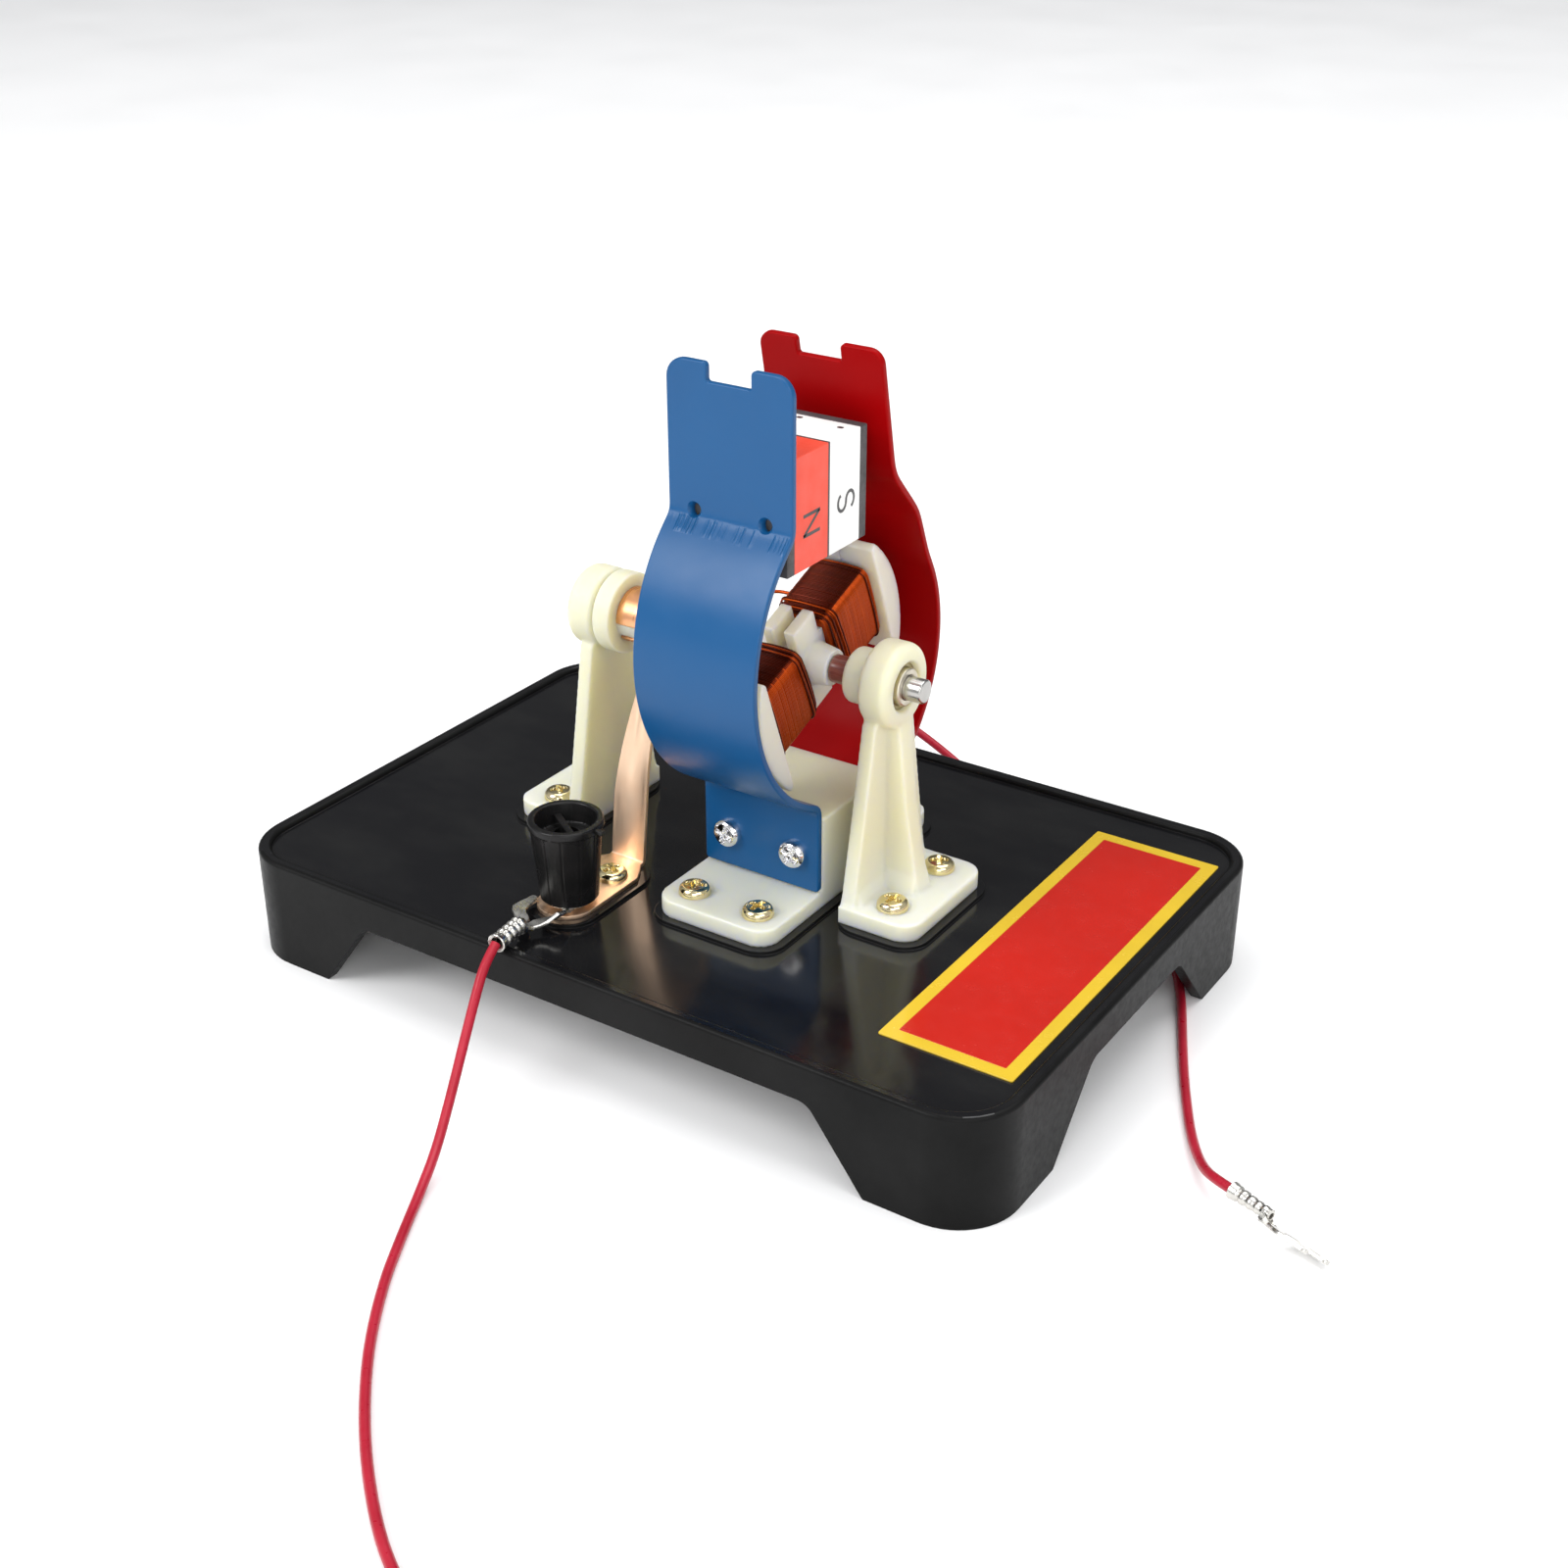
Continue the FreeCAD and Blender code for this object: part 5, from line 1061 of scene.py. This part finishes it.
brick("magnet_end_near", X0, X1, Y0, Y0 + 2.0, Z0, Z1, 0.22, M_FERRITE, "ferrite", "magnet_plate_near")
brick("magnet_end_far", X0, X1, Y1 - 2.0, Y1, Z0, Z1, 0.22, M_FERRITE, "ferrite", "magnet_plate_far")
brick("magnet_red_half", X0 + 0.02, X1 - 0.02, Y0 + 2.0, MID - 0.12, Z0 + 0.02, Z1 - 0.02, 0.12, M_PAPER_RED, "magnet_paper", "magnet_wrap", "magnet_core")
brick("magnet_white_half", X0 + 0.02, X1 - 0.02, MID + 0.12, Y1 - 2.0, Z0 + 0.02, Z1 - 0.02, 0.12, M_PAPER_WHITE, "magnet_paper")
brick("magnet_line", X0, X1, MID - 0.26, MID + 0.2, Z0, Z1, 0.02, M_INK, "magnet_paper")
for k, (dx, dy) in enumerate(((9.5, 1.5), (17.5, 0.7))):
    dot = make("magnet_dot_%d" % k, *prism(round_rect(0.55, 0.42, 0.36, dx, dy, 5), Z1 - 0.06, Z1 - 0.005), M_INK)
    put(dot, "magnet", "magnet_paper")


def stroke(points, w, closed=False):
    """Flat ribbon along 2D points: quads of constant width."""
    P = [Vector(p) for p in points]
    L, R_ = [], []
    for i, p in enumerate(P):
        d = (P[min(i + 1, len(P) - 1)] - P[max(i - 1, 0)]).normalized()
        nrm = Vector((-d.y, d.x))
        L.append(p + nrm * w / 2)
        R_.append(p - nrm * w / 2)
    return L, R_


def letter(name, strokes, cy, cz, face_x, out, w=0.55, t=0.03):
    """Printed letter lying on its side on an end face of the magnet: strokes in (right, up), drawn with up along -Y."""
    verts, faces = [], []
    for pts in strokes:
        L, R_ = stroke(pts, w)
        off = len(verts)
        n = len(L)
        for side in (0.0, t):
            for A in (L, R_):
                for p in A:
                    verts.append((face_x + out * (side - 0.005), cy - p.y, cz + p.x * out))
        for i in range(n - 1):
            a, b, c, d = off + i, off + i + 1, off + n + i + 1, off + n + i
            faces.append((a, b, c, d))
            faces.append((a + 2 * n, d + 2 * n, c + 2 * n, b + 2 * n))
            faces.append((a, a + 2 * n, b + 2 * n, b))
            faces.append((d, c, c + 2 * n, d + 2 * n))
        faces.append((off, off + n, off + 3 * n, off + 2 * n))
        faces.append((off + n - 1, off + 3 * n - 1, off + 4 * n - 1, off + 2 * n - 1))
    o = make(name, verts, faces, M_INK)
    return put(o, "magnet", "magnet_paper")


def s_points():
    pts = []
    for i in range(15):
        a = math.radians(20 + 250 * i / 14)
        pts.append((1.35 * math.cos(a), 1.2 + 1.15 * math.sin(a)))
    for i in range(1, 15):
        a = math.radians(90 - 250 * i / 14)
        pts.append((1.35 * math.cos(a), -1.1 + 1.15 * math.sin(a)))
    return pts


N_STROKES = [[(-1.6, -2.3), (-1.6, 2.3)], [(1.6, -2.3), (1.6, 2.3)], [(-1.6, 2.2), (1.6, -2.2)]]
for out, fx, tag in ((1, X1 - 0.02, "front"), (-1, X0 + 0.02, "rear")):
    letter("magnet_n_" + tag, N_STROKES, -11.0, 87.4, fx, out)
    letter("magnet_s_" + tag, [s_points()], -1.2, 88.0, fx, out)

# ---------------------------------------------------------------- armature
from_cad("armature_core", "lamination_stack", 0.1, M_LAM, "rotor", "steel", 2)
for end in ("front", "rear"):
    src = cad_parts["coil_former_" + end].data
    put(moulded("former_" + end, [([tuple(c / MM for c in v.co) for v in src.vertices], [tuple(p.vertices) for p in src.polygons])], M_NYLON_HUB,
                voxel=VOXEL * 0.9, passes=5), "rotor", "nylon", "coil_former_" + end)


def ring_pt(u, hx, hz, rc):
    """Point and outward normal on a rounded rectangle in X and Z, u in 0..1 round it."""
    segs = [("s", 2 * (hz - rc)), ("a", math.pi / 2 * rc), ("s", 2 * (hx - rc)), ("a", math.pi / 2 * rc)] * 2
    total = sum(l for _, l in segs)
    d = (u % 1.0) * total
    for k, (kind, l) in enumerate(segs):
        if d <= l or k == 7:
            break
        d -= l
    q = k // 2
    # side q runs up the +X face, then along the top, down the -X face and back along the bottom
    ang0 = q * math.pi / 2
    ca, sa = math.cos(ang0), math.sin(ang0)
    a_, b_ = (hx, hz) if q % 2 == 0 else (hz, hx)
    if kind == "s":
        t = d - (b_ - rc)
        bow = 0.16 * (1 - (t / (b_ - rc)) ** 2) if b_ > rc else 0
        p, n_ = Vector((a_ + bow, t)), Vector((1.0, -0.05 * t / b_))
    else:
        th = d / rc
        p, n_ = Vector((a_ - rc + rc * math.cos(th), b_ - rc + rc * math.sin(th))), Vector((math.cos(th), math.sin(th)))
    rot = lambda v: Vector((v.x * ca - v.y * sa, v.x * sa + v.y * ca))
    return rot(p), rot(n_).normalized()


def coil(name, node, side, seed):
    """Wound coil: every turn of wire is a ridge in the surface."""
    rnd = random.Random(seed)
    y0, y1, pitch = 3.85, 16.55, 0.28
    HX, HZ, RC = 5.28, 7.18, 1.75
    turns = int((y1 - y0) / pitch)
    samples = (-0.5, -0.34, -0.12, 0.12, 0.34)
    around = 96
    verts, faces = [], []
    rows = []
    for k in range(turns):
        jitter = rnd.uniform(-0.025, 0.025) if rnd.random() < 0.85 else rnd.uniform(-0.09, 0.0)
        for s_ in samples:
            rows.append(((k + 0.5 + s_) * pitch + y0, s_, jitter, rnd.uniform(0, 6.28)))
    rows.append((y1, 0.5, 0.0, 0.0))
    for y, s_, jitter, phase in rows:
        d = s_ * pitch
        ridge = (math.sqrt(max(0.0, (0.5 * pitch) ** 2 - d * d)) - 0.5 * pitch) * 0.75
        ease = max(0.0, 2.6 - (y - y0)) / 2.6
        drop = 1.15 * ease ** 1.3 + 0.2 * max(0.0, (y - (y1 - 0.4)) / 0.4)
        for i in range(around):
            p, n_ = ring_pt(i / around, HX - drop, HZ - drop, RC)
            q = p + n_ * (ridge + jitter)
            verts.append((XC + q.x, y * side, q.y * side))
    m = len(rows)
    for r in range(m - 1):
        for i in range(around):
            j = (i + 1) % around
            faces.append((r * around + i, r * around + j, (r + 1) * around + j, (r + 1) * around + i))
    # the two ends, stepping in to the former's sleeve
    for row, y in ((0, y0), (m - 1, y1)):
        prev = row * around
        for step in range(1, 9):
            t = step / 8
            off = len(verts)
            for i in range(around):
                v = verts[row * around + i]
                x, z = v[0] - XC, v[2] * side
                k = 1 - t * (1 - 3.35 / max(abs(x), 3.35)) if abs(x) / 3.3 > abs(z) / 4.3 else 1 - t * (1 - 4.35 / max(abs(z), 4.35))
                bumpy = 0.07 * (step % 2) * (1 if row else -1)
                verts.append((XC + x * k, (y - bumpy) * side, z * k * side))
            for i in range(around):
                j = (i + 1) % around
                faces.append((prev + i, prev + j, off + j, off + i))
            prev = off
    o = make(name, verts, faces, None, arm_pt, [M_ENAMEL, M_ENAMEL_PAINTED_SHADE])
    smooth(o, 80)
    # painted shade: the broad top and bottom of each coil take the darker copy of the enamel, for the shade on these
    # faces
    for p in o.data.polygons:
        c = p.center
        yy, zz, lx = c.y / MM, c.z / MM - AXIS_Z, c.x / MM - XC
        lz = -yy * math.sin(ARM) + zz * math.cos(ARM)
        if abs(lz) > HZ - 0.35 or (abs(lz) > HZ - 1.3 and abs(lx) < HX - 1.5):
            p.material_index = 1
    put(o, "rotor", "enamel_wire", node)
    # last turns, crossing loosely near the hub, and one at the outer edge
    light, dark = [], []
    for k, (yt, yf, grow, r) in enumerate(((3.95, 4.75, -0.55, 0.17), (4.3, 5.2, -0.38, 0.17), (4.65, 5.75, -0.12, 0.16), (5.35, 6.5, 0.02, 0.17), (5.75, 6.85, 0.10, 0.15),
                                           (15.1, 15.35, 0.12, 0.14), (15.9, 15.7, 0.06, 0.13))):
        path = []
        N = 140
        ph = rnd.uniform(0, 6.28)
        for i in range(N + 1):
            u = i / N
            p, n_ = ring_pt(u, HX + grow, HZ + grow, RC)
            q = p + n_ * (0.03 * math.sin(4 * math.pi * u + ph))
            # the turn leaves the top of the coil near the hub and comes down its face further out
            along = yt + (yf - yt) * (0.5 - 0.5 * (q.y / HZ))
            path.append(arm_pt((XC + q.x, along * side, q.y * side)))
        # painted shade: the turns in the dark group take the darker copy of the enamel, the others the lit one
        (dark if k in (0, 2, 4, 5) else light).append(sweep(path, r, 8, ends=False))
    for tag, group, mt in (("a", light, M_ENAMEL), ("b", dark, M_ENAMEL_PAINTED_SHADE)):
        st = make(name + "_loose_" + tag, *joined(*group), mt)
        smooth(st, 80)
        put(st, "rotor", "enamel_wire")


coil("coil_near_winding", "coil_near", -1, 5)
coil("coil_far_winding", "coil_far", 1, 9)
for node in ("coil_leads",):
    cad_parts[node].data.materials[0] = M_ENAMEL

# ---------------------------------------------------------------- shaft and its rings
shaft = make("shaft_rod", *lathe(fillet2d([(-34.5, 0.0), (-34.5, 2.0, 0.35), (34.5, 2.0, 0.35), (34.5, 0.0)], 4), 64, closed=False), M_STEEL)
weld(shaft)
smooth(shaft, 40)
put(shaft, "rotor", "steel", "shaft")


def collar(name, node, prof, mat, slot, n=72):
    o = make(name, *lathe(fillet2d(prof, 5)[:-1], n), mat)
    smooth(o, 35)
    return put(o, "rotor", slot, node)


collar("sleeve", "spacer_sleeve", [(17.6, 2.02), (17.6, 2.35, 0.12), (21.2, 2.35, 0.12), (21.2, 2.02), (17.6, 2.02)], M_TUBE, "brown_tube")
collar("stop_ring", "stop_collar", [(21.3, 2.02), (21.3, 4.65, 0.95), (25.3, 4.65, 0.7), (25.3, 2.02), (21.3, 2.02)], M_NYLON, "nylon")
collar("thrust_ring", "thrust_washer", [(-27.2, 2.02), (-27.2, 5.2, 0.08), (-26.95, 5.2, 0.08), (-26.95, 2.02), (-27.2, 2.02)], M_TUBE, "brown_tube")
from_cad("commutator_core", "commutator_hub", 0.5, M_NYLON, "rotor", "nylon", 4)
from_cad("commutator_segment_upper", "segment_upper", 0.16, M_SEGMENT, "rotor", "copper", 3)
from_cad("commutator_segment_lower", "segment_lower", 0.16, M_SEGMENT, "rotor", "copper", 3)

# ---------------------------------------------------------------- floor and light
floor_m = Mat("floor", (0.95, 0.95, 0.95), 0.6)
floor_m.rough(floor_m.span(floor_m.noise(14.0, 3.0), 0.3, 0.7, 0.5, 0.62))
bpy.ops.mesh.primitive_plane_add(size=6.0, location=(0, 0, 0))
floor = bpy.context.object
floor.name = "floor"
floor.data.materials.append(floor_m.m)

world = bpy.data.worlds.new("studio")
bpy.context.scene.world = world
world.use_nodes = True
bg = world.node_tree.nodes["Background"]
bg.inputs[0].default_value = (0.97, 0.98, 1.0, 1.0)
# the room is dimmer low down behind the part, so polished faces don't wash out
wt = world.node_tree
w_dir = wt.nodes.new("ShaderNodeTexCoord")
w_dot = wt.nodes.new("ShaderNodeVectorMath")
w_dot.operation = "DOT_PRODUCT"
w_dot.inputs[1].default_value = (-0.52, 0.80, -0.25)
w_map = wt.nodes.new("ShaderNodeMapRange")
w_map.interpolation_type = "SMOOTHSTEP"
w_map.inputs["From Min"].default_value = 0.05
w_map.inputs["From Max"].default_value = 0.75
w_map.inputs["To Min"].default_value = 0.56
w_map.inputs["To Max"].default_value = 0.14
wt.links.new(w_dir.outputs["Generated"], w_dot.inputs[0])
wt.links.new(w_dot.outputs["Value"], w_map.inputs["Value"])
wt.links.new(w_map.outputs["Result"], bg.inputs[1])


def softbox(name, at, aim, size, power, size_y=None, color=(1, 1, 1)):
    d = bpy.data.lights.new(name, "AREA")
    d.shape = "RECTANGLE"
    d.size, d.size_y = size, size_y or size
    d.energy = power
    d.color = color
    o = bpy.data.objects.new(name, d)
    bpy.context.scene.collection.objects.link(o)
    o.location = at
    o.rotation_euler = (Vector(aim) - Vector(at)).to_track_quat("-Z", "Y").to_euler()
    return o


softbox("key", (-0.58, -1.0, 1.0), (0, 0, 0.05), 0.7, 14.0, 0.9)
softbox("fill", (1.1, -0.5, 0.8), (0, 0, 0.05), 0.8, 5.3)
softbox("front", (0.62, -1.0, 0.42), (0, 0, 0.05), 0.6, 3.5)
softbox("top", (0.1, 0.4, 1.7), (0, 0.1, 0), 1.5, 20.0)

bpy.context.scene.view_settings.view_transform = "Standard"
